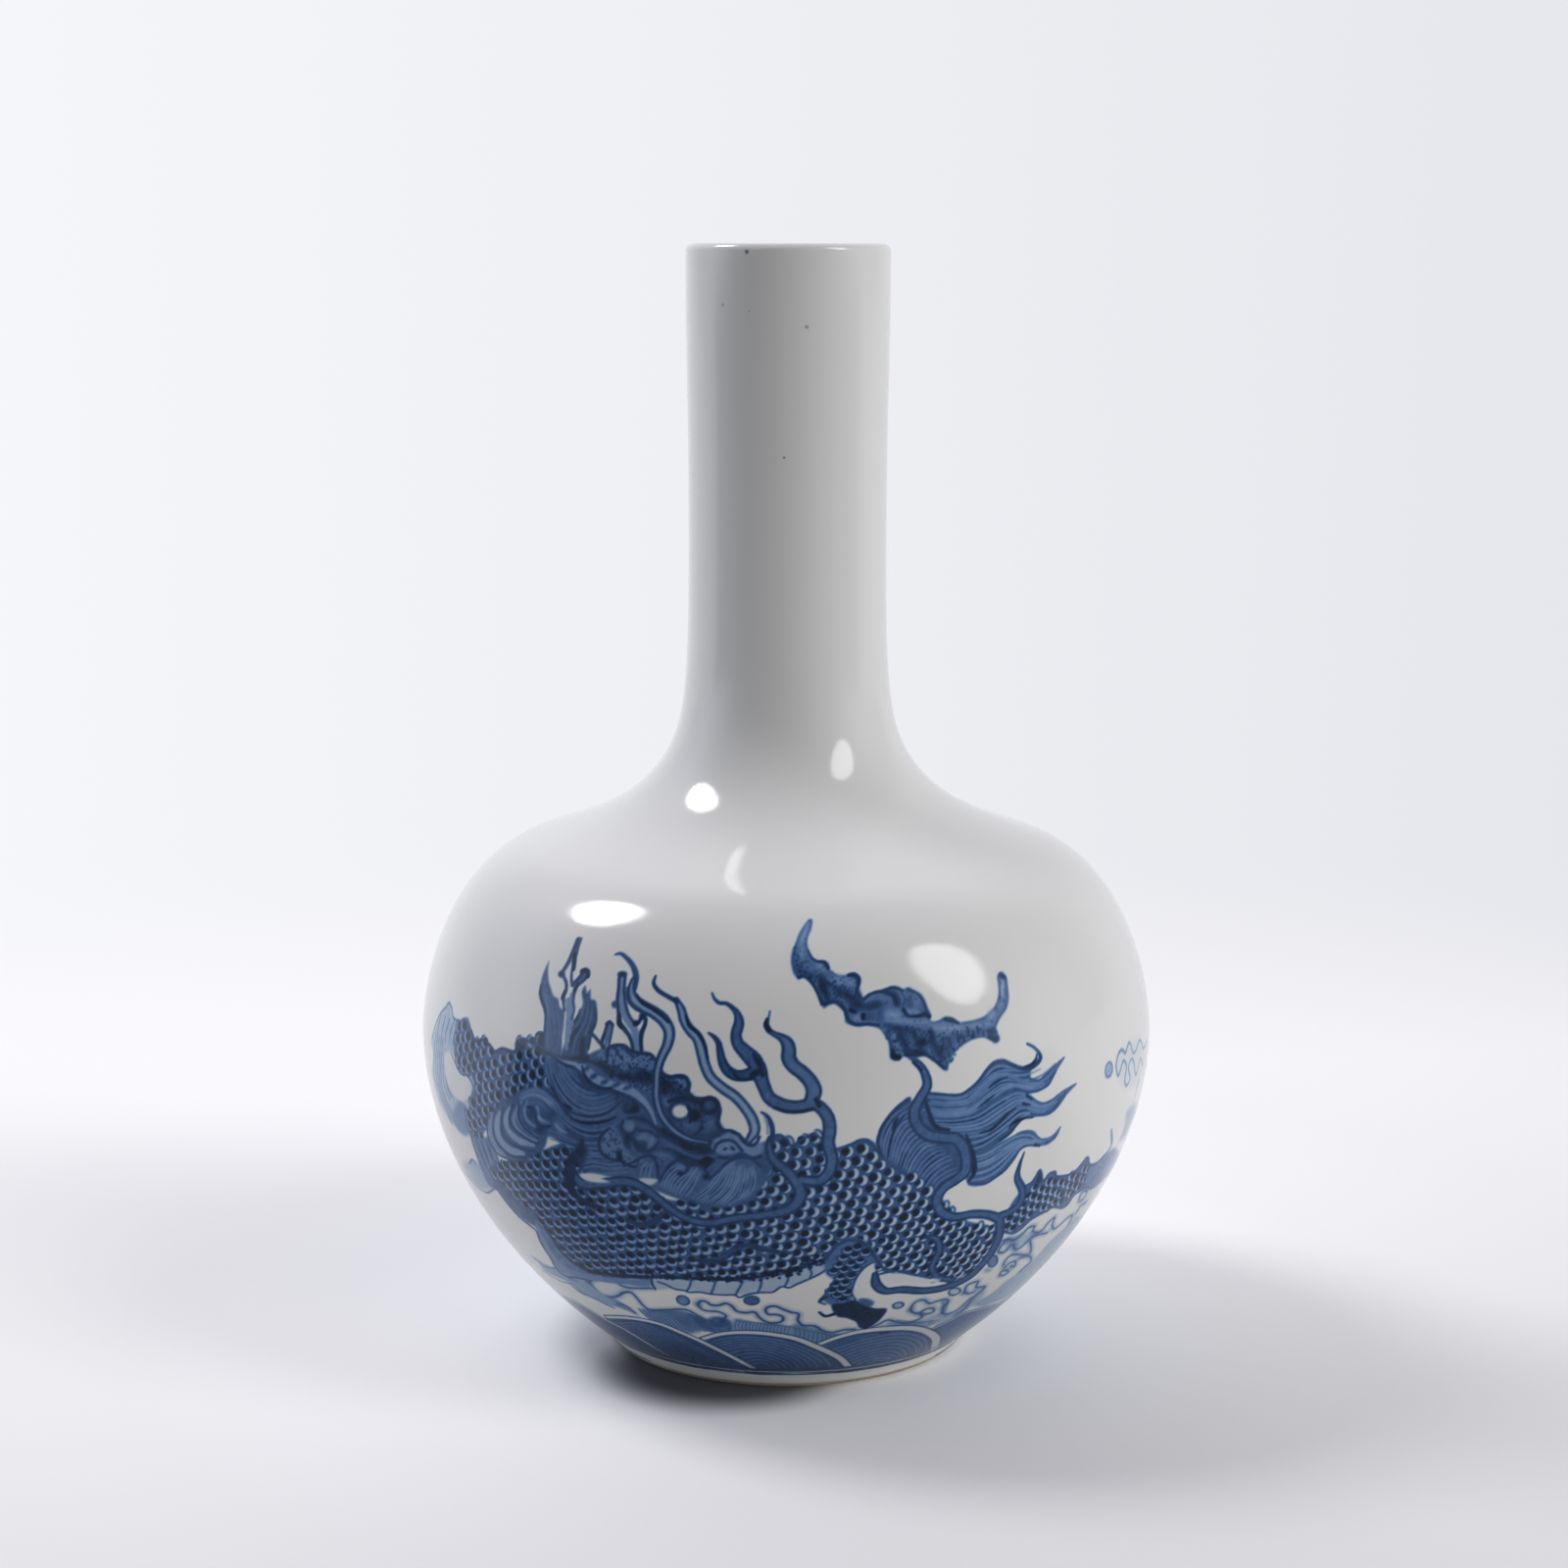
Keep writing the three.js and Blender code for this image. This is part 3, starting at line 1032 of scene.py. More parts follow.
@dataclass
class Sea:
    """The sea under the beast, and the lines round the foot.

    The foot marks are the photograph's pixels at which the lower and the upper line were read. The lines'
    widths are in its pixels too. The pale line between them and the bare glaze under them are given by half
    widths in millimetres, the bare glaze's by how much its middle and half width fall short of half the way
    to the lower line.
    """

    brush: Brush
    foot_marks: tuple = ((803.0, 1402.5), (803.0, 1397.8))
    foot_widths: tuple = (2.5, 2.3)
    foot_tone: float = 0.78
    foot_wear: float = 0.2
    pale_half: float = 0.36
    pale_tone: float = 0.05
    bare_short: tuple = (0.3, 0.75)
    column_step: int = 12

    def paint(self) -> None:
        """Paints all of it, what lies under first."""
        self.foam()
        self.waves()
        self.foot_lines()

    def foam(self) -> None:
        """Spray, bubbles and wash over the waves."""
        b = self.brush
        # the spray at the left
        b.area([(585,1304),(592,1308),(600,1308.5),(607,1314.6),(614.6,1321),(624,1323.5),(642,1334.6),
            (648,1340),(624,1331),(608,1323),(593,1319)], .26, soft=.7)
        b.area([(601,1309),(606,1305),(612,1304),(622,1305),(631,1309),(637,1314),(634,1320),(624,1322),
            (615,1319),(607,1312)], .05, soft=.5)
        b.area([(593,1311),(601,1310),(607,1316),(616,1322),(622,1326),(613,1324.6),(601,1319)], .05, soft=.4)
        b.area([(651,1335),(662,1337),(693,1337.5),(706,1341),(722,1349),(716,1358),(700,1361),(680,1356),
            (665,1347)], .3, soft=.8)
        b.comb([[(652,1336),(658,1342),(668,1349)], [(678,1337),(690,1347),(700,1358)],
            [(700,1339),(712,1350),(720,1359)], [(716,1345),(724,1353),(730,1360)]], 21, (1.0, 1.7, 1.0), .58)
        b.area([(724,1345),(736,1344),(747,1350),(749,1356),(739,1359),(724,1358)], .52, soft=.8, wear=.2)
        b.area([(748,1346),(775,1350),(800,1352),(812,1356),(808,1364),(790,1362),(765,1359),(750,1359)], .25,
            soft=.8)
        for k in range(16):
            x, y = 751 + 3.6 * k, 1347 + .42 * k
            b.line([(x, y + 11), (x - 1, y + 5), (x + 1.6, y), (x + 4, y + 1.6)], (1.0, 1.5, 1.0), .46)
        b.area([(808,1352),(830,1355),(848,1361),(868,1360),(872,1362),(852,1366),(840,1371),(820,1367),
            (806,1362)], .3, soft=.8)
        for k in range(14):
            x, y = 808 + 4.5 * k, 1354 + min(k, 8) * .95
            b.line([(x + 2, y + 12), (x + 4, y + 6), (x + 3, y + 1), (x - 2, y)], (1.0, 1.6, 1.0), .48)
        b.scrolls([
            ([(545,1284),(556,1291),(566,1296),(580,1303),(592,1308),(600,1308.5),(607,1314.6),(614.6,1321),
                (624,1323.5),(631.5,1322),(636,1319),(644,1319),(650,1324.6),(656,1332),(662,1336),
                (678,1336.6),(693,1336),(702,1337),(711.5,1342),(722,1347.7)], (1.4, 2.4, 2.4, 2), .62),
            ([(585,1313),(593,1319),(601,1322),(608.5,1323),(616,1328.5),(624,1331),(634.6,1331),(642,1334.6),
                (648.5,1340)], 2, .55),
            ([(601,1309),(606,1305),(614,1304),(627,1307),(634.6,1312),(642,1314),(665,1314.6)],
                (1.4, 2.2, 2), .6),
            ([(712,1331),(714.6,1327.7),(721,1328.5),(725.4,1331.5),(733,1332),(741,1330),(747,1333),
                (751.5,1337.7),(761,1339.5),(770,1339),(774.6,1344),(781,1348.5),(790,1350),(798.5,1347.7),
                (799,1344),(793,1341.5),(784,1341),(781,1337.7),(783,1334),(791.5,1333),(799,1336),(807,1339),
                (815,1341),(814,1347),(818.5,1352),(831,1353),(840,1358),(849,1359.6),(861.5,1357),
                (872,1356.5)], 2.2, .64),
            ([(712,1331),(715.4,1335.4),(722,1337.7),(733,1338.5),(741,1343),(738,1347)], 2, .6),
            ([(722,1348),(732,1352),(742,1349)], 1.8, .5),
        ])
        # the spray at the right
        b.area([(945,1345),(958,1340),(966,1342),(978,1337),(992,1325),(1004,1313),(1006,1318),(990,1334),
            (972,1347),(950,1352),(925,1351)], .16, soft=1.0)
        b.area([(961,1328),(967,1329),(965,1338),(961,1340)], .26, soft=.6)
        b.comb([[(900,1352),(920,1352),(950,1353)], [(915,1347),(935,1349),(958,1347)]], 4, (1, 1.5, 1), .42)
        b.area([(1025,1266),(1050,1258),(1062,1258),(1045,1268),(1030,1276)], .15, soft=1.0)
        b.area([(990,1330),(1010,1321),(1025,1308),(1041,1297),(1058,1283),(1070,1268),(1085,1254),
            (1100,1240),(1104,1248),(1088,1272),(1070,1292),(1050,1308),(1030,1322),(1012,1330),(998,1334)],
            .17, soft=1.2)
        b.comb([[(994,1332),(1016,1318),(1040,1299),(1062,1278),(1088,1252)],
            [(1004,1333),(1030,1320),(1054,1302),(1076,1280),(1102,1246)]], 6, (1, 1.7, 1.2), .36)
        for middle, wide, high, lean, fill in (((697,1327), 13, 9, 20, .35), ((767,1327), 15, 9, 0, .5),
                ((916.5,1332), 11, 6, -10, .2), ((974,1318), 12, 7, -15, .12), ((1013,1287), 9, 12, 20, .35)):
            b.oval(middle, wide, high, fill, lean=lean)
            b.ring(middle, wide, high, 1.9, .62, lean)
        b.oval((1008,1296), 9, 5, .2, lean=-20, soft=.8)
        b.scrolls([(line, 1.9, .58) for line in (
            [(929,1336.5),(931,1332),(935.4,1328),(943,1326.5),(948,1330),(955.4,1328),(966,1326),
                (967.7,1328),(963,1333.5),(961.5,1339.6),(966,1341),(977,1336.5),(984.6,1330),(991,1324)],
            [(929,1336.5),(931,1339),(938.5,1340),(943,1336.5),(952,1335),(953,1338),(944,1341),(938.5,1340)],
            [(938.5,1340),(941,1343.5),(935.4,1347),(923,1350),(915.4,1349),(906,1347),(897,1351),(886,1356)],
            [(1023.5,1266),(1029,1264.4),(1034,1265.6),(1039.6,1262),(1045.4,1257),(1051,1252),(1056,1251.7),
                (1053.5,1256),(1058,1258),(1064,1254.6),(1069.6,1247.7),(1076,1242.5),(1073.6,1251),
                (1075.4,1254),(1082,1249.4),(1088,1243.7),(1094,1240),(1090.4,1249.4)],
            [(1024.6,1268.5),(1021,1272),(1019,1277.7),(1024.6,1277.7),(1029,1273),(1034,1270),(1035.6,1275),
                (1041,1273),(1048,1267),(1052,1263),(1058,1260.4),(1068.5,1258)],
            [(1051,1266),(1052,1273),(1051,1279),(1045.4,1282),(1041,1283.5)],
            [(1023.5,1291.5),(1026,1286),(1031.5,1281),(1038.5,1280),(1052,1283),(1051,1288),(1045.4,1292.7),
                (1041,1297)],
            [(1024.6,1294),(1030.4,1288.7),(1036,1287),(1035,1292.7),(1031.5,1291.5)],
            [(1020,1302),(1021,1298.5),(1027,1296),(1029,1298),(1024.6,1301),(1020,1302)],
            [(983.7,1319),(986.5,1312),(992,1309),(998,1307.7),(996,1313.5),(1005,1313),(1001.5,1317),
                (996,1321.5),(991,1327),(983,1336.5),(976,1341)],
            [(983.7,1319),(989,1320),(994.6,1318)],
            [(1101,1224),(1104,1217),(1109,1215),(1106,1223),(1101,1226)],
            [(1098,1238),(1103,1230),(1108,1227)],
        )])

    def waves(self) -> None:
        """The ringed waves."""
        b = self.brush
        waves = (
            Wave([(951.5,1356),(969,1348),(984.6,1340),(1000,1336),(1020,1329.6),(1040,1318),(1030,1345),
                (1005,1362),(975,1378),(955,1384)],
             [(951.5,1356),(969,1348),(984.6,1340),(1000,1336),(1020,1329.6),(1031,1322)], (2.6, 2.6),
                 [[(958,1362),(984,1351),(1008,1341),(1028,1333)], [(978,1377),(996,1366),(1012,1355),
                 (1028,1343)]], 7, .5, .32),
            Wave([(840,1373),(854,1366),(874,1361),(892,1358),(911,1356),(931,1356),(946,1359),(954,1366),
                (955,1373.5),(950,1382),(920,1391),(880,1398),(850,1400)],
             [(835,1372),(854,1365),(874,1359.6),(892,1357),(911,1355.5),(931,1355.5),(946,1359),(955,1366),
                 (953,1377)], (5.5, 7, 8, 8.5, 10), [[(846,1379),(872,1370),(896,1364),(918,1361),(936,1363),
                 (946,1370),(943,1382)], [(858,1390),(878,1383),(896,1378),(910,1377),(920,1380),(922,1390)],
                 [(880,1398),(890,1393),(900,1392),(906,1396)]], 10, .55, .3),
            Wave([(720,1366),(732,1362),(748,1360),(772,1360),(800,1364),(822,1370),(845,1379),(860,1389),
                (866,1397),(810,1401),(760,1400)],
             [(718,1366),(732,1362),(748,1360),(772,1360),(800,1363.5),(815,1367),(831,1373.5),(846,1380),
                 (858.5,1387),(865,1394)], (5, 6.5, 7.5, 7), [[(728,1369),(746,1365),(772,1365),(800,1369),
                 (824,1377),(842,1387),(850,1397)], [(742,1379),(756,1376),(774,1376),(794,1381),(812,1389),
                 (820,1398)], [(766,1394),(772,1391),(780,1391),(788,1395)]], 10, .61, .34),
            Wave([(618,1345),(637,1345.6),(656,1348),(674.6,1352.5),(693,1360),(711.5,1368),(730,1377),
                (748.5,1386.4),(768,1398),(720,1397),(670,1390),(640,1372)],
             [(619,1344),(637.7,1344.6),(656,1347),(674.6,1351.5),(693,1359),(711.5,1367),(730,1376),
                 (748.5,1385.4),(761,1392),(768.5,1396)], (4.5, 6.5, 6.5), [[(628,1351),(648,1350),(668,1355),
                 (696,1367),(724,1382),(748,1395)], [(644,1362),(660,1364),(678,1371),(698,1381),(714,1390),
                 (722,1395)], [(664,1375),(674,1379),(686,1386),(696,1393)]], 11, .65, .38),
            Wave([(570,1321),(593,1332),(616,1346),(639,1358.7),(662,1372.5),(681,1384),(668,1389),(640,1380),
                (615,1362),(590,1342)],
             [(570,1320),(593,1331.5),(616,1345.4),(639,1357.7),(662,1371.5),(681,1383)], (3, 4, 4),
                 [[(590,1338),(616,1353),(640,1367),(664,1382)], [(610,1358),(624,1367),(640,1377),
                 (652,1385)]], 6, .6, .4),
        )
        for wave in waves:
            wave.paint(b)
        b.area([(700,1372),(716,1381),(740,1393),(700,1392),(676,1384),(668,1374)], .26, SOAK, soft=2.5)
        b.area([(780,1386),(800,1384),(826,1391),(846,1399),(790,1401),(760,1398)], .2, SOAK, soft=2.5)
        b.line([(898,1360.5),(906,1359.6)], 2.4, .92)

    def foot_lines(self) -> None:
        """The two lines round the foot, the bare glaze under them and the pale line between them."""
        low, high = self.brush.places(np.array(self.foot_marks))[:, 1]
        lower, upper = (width / self.brush.scale / 2 for width in self.foot_widths)
        self.band(high, upper, self.foot_tone, self.foot_wear)
        self.band(low, lower, self.foot_tone, self.foot_wear)
        middle_short, half_short = self.bare_short
        self.band(low / 2 - middle_short, low / 2 - half_short, 0.0)
        self.band((low + high) / 2, self.pale_half, self.pale_tone)

    def band(self, way: float, half: float, tone: float, wear: float = 0.0) -> None:
        """A line all the way round the front.

        Args:
            way: Its distance along the section.
            half: Its half width in millimetres.
            tone: Its density of colour.
            wear: How much of it is worn away in spots.
        """
        turns = self.brush.sheet.turns[:: self.column_step]
        line = np.column_stack([turns, np.full(len(turns), way)])
        self.brush.stroke(line, np.full(len(turns), half), tone, wear=wear)


@dataclass
class Beast:
    """The horned beast with its scales, mane and flames."""

    brush: Brush

    def paint(self) -> None:
        """Paints all of it, what lies under first."""
        self.left_limb()
        self.tail_fan()
        self.right_limb()
        self.body()
        self.foreleg()
        self.mane_ground()
        self.whorls()
        self.tufts()
        self.antlers()
        self.head()
        self.flames()
        self.tail_flames()
        self.whiskers()

    def left_limb(self) -> None:
        """The limb and the hair at the left edge."""
        b = self.brush
        b.area([(440,1062),(444,1047),(450,1033),(458,1023),(462,1038),(471,1042),(477,1039),(481,1055),
            (484,1064),(484,1100),(482,1150),(476,1158),(465,1150),(457,1140),(450,1128),(444,1110),
            (441,1095),(442,1075)], .2, soft=1.0, wear=.3)
        b.comb([[(445,1054),(443,1075),(443,1095),(447,1112),(455,1132),(468,1154)],
            [(452,1060),(450,1085),(451,1108),(457,1126),(466,1142)]], 5, (1, 1.6, 1), .4, SOAK)
        b.comb([[(450,1035),(447,1050),(446,1064)], [(468,1044),(464,1054),(462,1066)]], 5, (1.2, 1.8, 1),
            .44, SOAK)
        b.scales([(464,1056),(472,1048),(481,1062),(484,1102),(478,1094),(469,1090),(465,1074)],
            [(470,1070,-.9,.3)], (8.0, 7.0), 9.0, 10, .9, .26, .5)
        b.lines([
            ([(441,1060),(444,1047),(450,1033),(455,1028),(458,1023),(461,1029),(463,1039),(471,1042),
                (476,1039),(481,1052),(485,1062)], (1.2, 1.8, 1.8, 1.6), .52),
            ([(457,1138),(461,1146)], (2, 2.8), .62),
            ([(453,1078),(452,1095),(454,1110),(459,1122)], 1.4, .44),
        ])
        b.area([(465,1128),(470,1123),(474,1128),(479,1135),(481,1145),(480,1157),(473,1158),(466,1150),
            (463,1140)], .34, soft=.8)
        b.line([(474,1130),(480,1142),(480,1156)], (2, 4, 3), .54)
        b.area([(454,1075),(460,1073),(465,1082),(467,1092),(476,1097),(481,1108),(478,1121),(472,1124),
            (466,1121),(460,1113),(455,1098)], .04, soft=.5)
        b.line([(455,1101),(457,1111),(461,1119)], (2, 5, 3), .34, soft=.8)
        b.line([(460,1074),(466,1088),(470,1095),(477,1098),(483,1109),(481,1121)], (1.2, 2, 1.8), .5)
        b.oval((476,1049), 6, 6, .7)
        b.oval((482,1063), 5, 6, .8)
        b.area([(472,1186),(484,1184),(498,1192),(505,1212),(497,1215),(484,1208),(476,1198)], .14, soft=.9)
        b.comb([[(474,1188),(482,1202),(492,1214)], [(484,1184),(494,1198),(503,1212)]], 6, (1, 1.5, 1), .38,
            SOAK)
        b.lines([([(470,1190),(478,1201),(488,1212),(498,1217),(504,1213)], 1.8, .52),
            ([(479,1187),(482,1183),(485,1188)], 2.2, .5), ([(472,1196),(480,1214),(490,1230)], (1, 1.6, .8),
            .2), ([(482,1212),(491,1226),(500,1237)], (1, 1.6, .8), .22)])

    def body(self) -> None:
        """The scaled coils, with the plates under the belly."""
        b = self.brush
        edge = [(470,1044),(476,1040),(481,1052),(485,1062),(493,1061),(500,1067),(505,1072),(512,1070),
            (525,1073),(527,1064),(533,1060),(541,1063),(546,1060),(549,1054),(556,1055),(556,1075),
            (560,1092),(563,1106),(552,1112),(535,1114),(518,1122),(506,1134),(496,1152),(486,1168),
            (481,1160),(477,1146),(480,1126),(484,1110),(480,1096),(470,1092),(464,1074),(464,1058)]
        b.area(edge, .54, wear=.15)
        b.scales(edge, [(540,1080,-.9,.45),(500,1090,-.85,.5),(485,1140,-.7,.7),(470,1060,-.9,.3)],
            (12.2, 10.6), 13.5, 20, 1.05, .25, .64)
        b.line([(481,1052),(485,1062),(493,1061),(500,1067),(505,1073),(512,1070),(526,1073),(527,1064),
            (533,1060),(541,1063),(546,1061),(548,1055),(555,1054)], 2.6, .76)
        b.oval((532,1066), 9, 8, .82)
        b.oval((553,1062), 9, 11, .88)
        b.area([(480,1155),(490,1162),(500,1160),(508,1180),(512,1196),(508,1214),(500,1210),(490,1190)], .45,
            soft=.6)
        b.hair([[(481,1160),(488,1180),(500,1202)], [(490,1160),(497,1180),(507,1208)],
            [(500,1160),(505,1178),(514,1196)]], 4.6, .26, .8, 1.8, 1.0)
        body = [(500,1192),(520,1184),(548,1176),(575,1166),(592,1164),(596,1195),(620,1207),(650,1208),
            (675,1222),(700,1226),(740,1226),(762,1214),(775,1190),(788,1160),(795,1158),(803,1162),
            (812,1168),(820,1160),(832,1158),(845,1164),(855,1172),(868,1168),(880,1163),(892,1166),
            (900,1180),(918,1190),(935,1205),(958,1222),(985,1245),(1012,1252),(1020,1262),(1008,1282),
            (990,1298),(965,1306),(935,1302),(905,1298),(880,1290),(862,1274),(840,1286),(810,1298),
            (780,1304),(750,1307),(720,1306),(680,1304),(640,1304),(600,1298),(582,1288),(568,1270),
            (556,1254),(545,1238),(520,1222),(506,1208)]
        b.area(body, .58, wear=.15)
        flow = [(530,1205,-.45,.9),(560,1235,-.1,1.0),(600,1262,.15,1.0),(660,1280,.35,.95),
            (720,1280,.75,.65),(780,1260,.9,.4),(860,1220,1,.05),(960,1270,.95,.2),(820,1180,.95,.2),
            (560,1185,-.5,.85),(680,1240,.4,.9)]
        b.area([(538,1238),(552,1260),(562,1278),(576,1294),(602,1303),(640,1305),(640,1290),(600,1285),
            (580,1262),(560,1238)], .5, soft=.8, wear=.3)
        b.scales(body, flow, (12.3, 10.7), 13.6, 14, 1.06, (.26, .1), .66)
        # the lower-left edge
        b.area([(503,1208),(512,1220),(520,1231),(530,1241),(545,1250),(547,1240),(532,1228),(518,1214),
            (508,1204)], .58, wear=.2)
        b.area([(546,1244),(552,1258),(558,1270),(566,1282),(580,1294),(600,1300),(636,1305),(664,1306),
            (664,1312),(640,1311),(600,1306),(577,1302),(567,1294),(561,1283),(553,1270),(548,1256)], .34,
            soft=.5)
        b.area([(550,1288),(560,1293),(572,1298),(590,1304),(612,1318),(630,1332),(618,1331),(600,1322),
            (585,1311),(568,1303),(556,1297)], .24, soft=.6)
        b.lines([
            ([(505,1210),(512,1221),(520,1231),(529,1241),(540,1250),(547,1256),(551,1266),(556,1275),
                (562,1284),(568,1295),(577,1302),(590,1304),(602,1307)], (2, 3, 3, 2.4), .66),
            ([(550,1288),(557,1293),(566,1294),(571,1298),(580,1304),(590,1308)], 1.8, .5),
            ([(553,1296),(562,1302),(574,1308),(585,1311),(593,1318),(600,1322),(608,1325),(618,1331),
                (627,1335)], 1.8, .5),
            ([(538,1282),(545,1289),(550,1293)], 1.4, .3),
        ])
        b.line([(548,1240),(560,1258),(572,1276),(588,1290),(610,1299),(650,1303),(700,1305)], (3, 4, 5, 4),
            .78, SOAK, soft=.8, wear=.5)
        # the plates under the belly
        b.area([(664,1303),(700,1306),(750,1308),(785,1304),(815,1296),(842,1284),(858,1275),(850,1290),
            (832,1303),(812,1311),(798,1313),(788,1318),(761,1321),(739,1321),(713,1318),(689,1315),
            (668,1315)], .16, soft=.5)
        b.lines([
            ([(664.6,1304.6),(665.4,1310),(668.5,1315.4)], 2.2, .8),
            ([(671.5,1308),(681,1311.5),(688.5,1315.4),(699,1317),(702,1318.5),(713,1318.5),(725.4,1320.5),
                (739,1321.5),(750,1321.5),(754.6,1324),(761,1321.5),(774.6,1319),(788.5,1318.5),(797.7,1313),
                (805.4,1314),(812,1311),(828,1304),(838,1299),(850,1289),(859,1276)], 2.2, .66),
        ])
        for line in ([(705.4,1306),(704,1312),(700.8,1317.7)], [(730,1308),(728.5,1313),(725.4,1320.5)],
                [(757.7,1308),(754,1315),(750,1322)], [(777,1305),(776,1313),(773,1319)],
                [(804,1300),(804,1306),(801,1312)], [(824,1292),(828,1298),(827,1304)],
                [(843,1283),(847,1287),(846,1292)]):
            b.line(line, 1.9, .6)
        b.stipple([(660,1297),(700,1300),(750,1301),(800,1295),(840,1280),(846,1286),(820,1299),(780,1307),
            (740,1308),(700,1306),(660,1303)], 110, 3.4, .88)
        b.line([(600,1298),(640,1302),(680,1303),(720,1305),(750,1305),(780,1302),(810,1296),(842,1284),
            (858,1273)], (3, 4, 4, 3), .84, SOAK, soft=.8, wear=.6)
        b.lines([([(786,1162),(795,1158),(803,1163),(808,1170),(816,1164),(824,1160),(832,1158),(838,1162)],
            (2, 2.6, 2), .66), ([(855,1172),(862,1170),(870,1167),(876,1164),(884,1163),(891,1168),
            (897,1178)], (2, 2.6, 2), .66)])

    def foreleg(self) -> None:
        """The leg under the belly and its claw."""
        b = self.brush
        b.area([(842,1284),(850,1272),(862,1264),(878,1264),(890,1272),(897,1284),(897,1292),(890,1290),
            (882,1294),(875,1302),(870,1314),(869,1326),(858,1334),(848,1332),(840,1326),(846,1314),
            (850,1306),(843,1300)], .46, soft=.5)
        b.scales([(848,1290),(858,1274),(872,1270),(884,1278),(882,1288),(872,1300),(867,1314),(864,1328),
            (852,1330),(848,1318),(852,1306),(846,1298)], [(865,1300,-.3,.9)], (10.0, 8.6), 11.5, 10, 1.2,
            .22, .78)
        b.lines([([(842,1286),(852,1273),(864,1266),(878,1267),(888,1275),(896,1288),(905,1298)],
            (2.5, 3, 2.5), .7), ([(852,1306),(846,1316),(841,1322),(836,1328),(842,1331)], 2.2, .66)])
        b.area([(891,1288),(883,1293.5),(875.4,1302.7),(871,1312),(869,1319.6),(874,1325),(881.5,1321),
            (888,1312),(891,1301),(893,1293.5)], .02)
        b.line([(891,1288),(883,1293),(875,1302),(870.5,1312),(869,1320),(873,1326)], 2, .66)
        b.area([(876,1326),(884,1325),(892,1329),(889,1333),(880,1332)], .5, soft=.5)
        b.area([(849,1332),(861.5,1330),(871,1326.5),(880,1331),(892,1335),(904.6,1336),(900,1344),(892,1351),
            (883,1356),(877,1354),(874,1349),(864.6,1345),(854,1342.7)], .94, wear=.12)
        b.line([(851,1341),(842,1343),(836,1339)], (4.5, 3.6, 2.4), .9)
        b.line([(836,1329),(840,1325),(845,1323)], (2, 4, 2), .75)

    def right_limb(self) -> None:
        """The scaled limb at the right and the wisps past it."""
        b = self.brush
        edge = [(1023,1256),(1030,1232),(1046,1211),(1052,1207),(1057,1200),(1061,1194),(1063,1200),
            (1066,1204),(1070,1199),(1077,1196),(1078,1200),(1090,1199),(1098,1194),(1104,1187),(1110,1182),
            (1112,1189),(1120,1186),(1128,1178),(1134,1182),(1132,1195),(1113,1212),(1103,1215),(1096,1220),
            (1090,1229),(1084,1232.7),(1075,1232),(1064,1238),(1052,1245),(1041,1255),(1034,1258.6)]
        b.area(edge, .5, soft=.5)
        b.scales([(1024,1250),(1032,1236),(1048,1214),(1064,1207),(1090,1201),(1106,1190),(1114,1192),
            (1116,1206),(1102,1212),(1092,1222),(1078,1230),(1060,1236),(1046,1246),(1036,1256)],
            [(1040,1240,-.7,.7),(1110,1195,-.8,.6)], (10.6, 9.2), 11.8, -20, 1.12, .15, .66)
        b.area([(1057,1207),(1058,1203),(1061,1196),(1063,1199),(1063,1206)], .8)
        b.area([(1112,1190),(1120,1187),(1129,1177),(1138,1172),(1142,1180),(1132,1196),(1120,1208),
            (1112,1214),(1108,1210)], .38, soft=.9)
        b.comb([[(1110,1208),(1120,1196),(1132,1178)], [(1116,1212),(1128,1202),(1140,1184)]], 5,
            (1.2, 1.8, 1), .5, SOAK)
        b.lines([
            ([(1046,1210),(1052,1207),(1057,1200),(1061,1194),(1063,1198),(1063,1205),(1066,1204),(1070,1198),
                (1077,1196),(1077,1200),(1090,1199),(1098,1194),(1104,1187),(1109,1181),(1111,1183),
                (1111,1188),(1117,1188),(1123,1183),(1129,1176)], (2.2, 2.6, 2), .64),
            ([(1023,1257),(1034,1258.6),(1041,1255),(1052,1245),(1064,1238),(1075,1232),(1084.6,1232.7),
                (1090,1228.6),(1096,1220),(1103,1215),(1110,1211),(1113.5,1212.5),(1123,1205),(1133,1194.6)],
                (1.8, 2.2, 1.8), .56),
            ([(1129,1177),(1134,1168),(1134,1153)], (4, 5, 4), .3),
        ])
        b.area([(1158,1126),(1150,1134),(1147,1150),(1142,1165),(1148,1160),(1154,1146),(1160,1132)], .2,
            soft=1.4)
        b.comb([[(1098,1236),(1112,1212),(1126,1186)], [(1106,1236),(1120,1214),(1136,1190)]], 4, (1, 1.6, 1),
            .3)

    def tail_fan(self) -> None:
        """The hair that fans out from the tail."""
        b = self.brush
        # the left part, curling to the tendril
        b.area([(928,1120),(917,1128),(906,1140),(899,1152),(896,1164),(896,1176),(906,1190),(920,1200),
            (936,1214),(948,1226),(962,1212),(975,1204),(986,1194),(984,1176),(975,1164),(950,1160),
            (936,1148),(932,1134)], .62, wear=.1)
        b.hair([[(899,1182),(899,1160),(908,1142),(930,1124)], [(908,1190),(914,1164),(924,1148),(938,1144)],
            [(922,1202),(930,1182),(942,1168),(958,1166)], [(934,1213),(946,1194),(962,1182),(974,1178)],
            [(948,1225),(958,1208),(970,1200),(980,1196)]], 4.4, .36, .84, 2.1, .5)
        b.lines([
            ([(901,1182),(896,1170),(896,1162),(899.4,1151.6),(906.6,1140),(917,1128.6),(928,1120.6)],
                (2.6, 3, 2), .76),
            ([(907,1180),(909,1164),(914,1150),(923,1138)], (1.2, 2.4, 1), .9),
            ([(911,1154.5),(913,1146),(916,1141)], (1.4, 3, 1.4), .92),
        ])
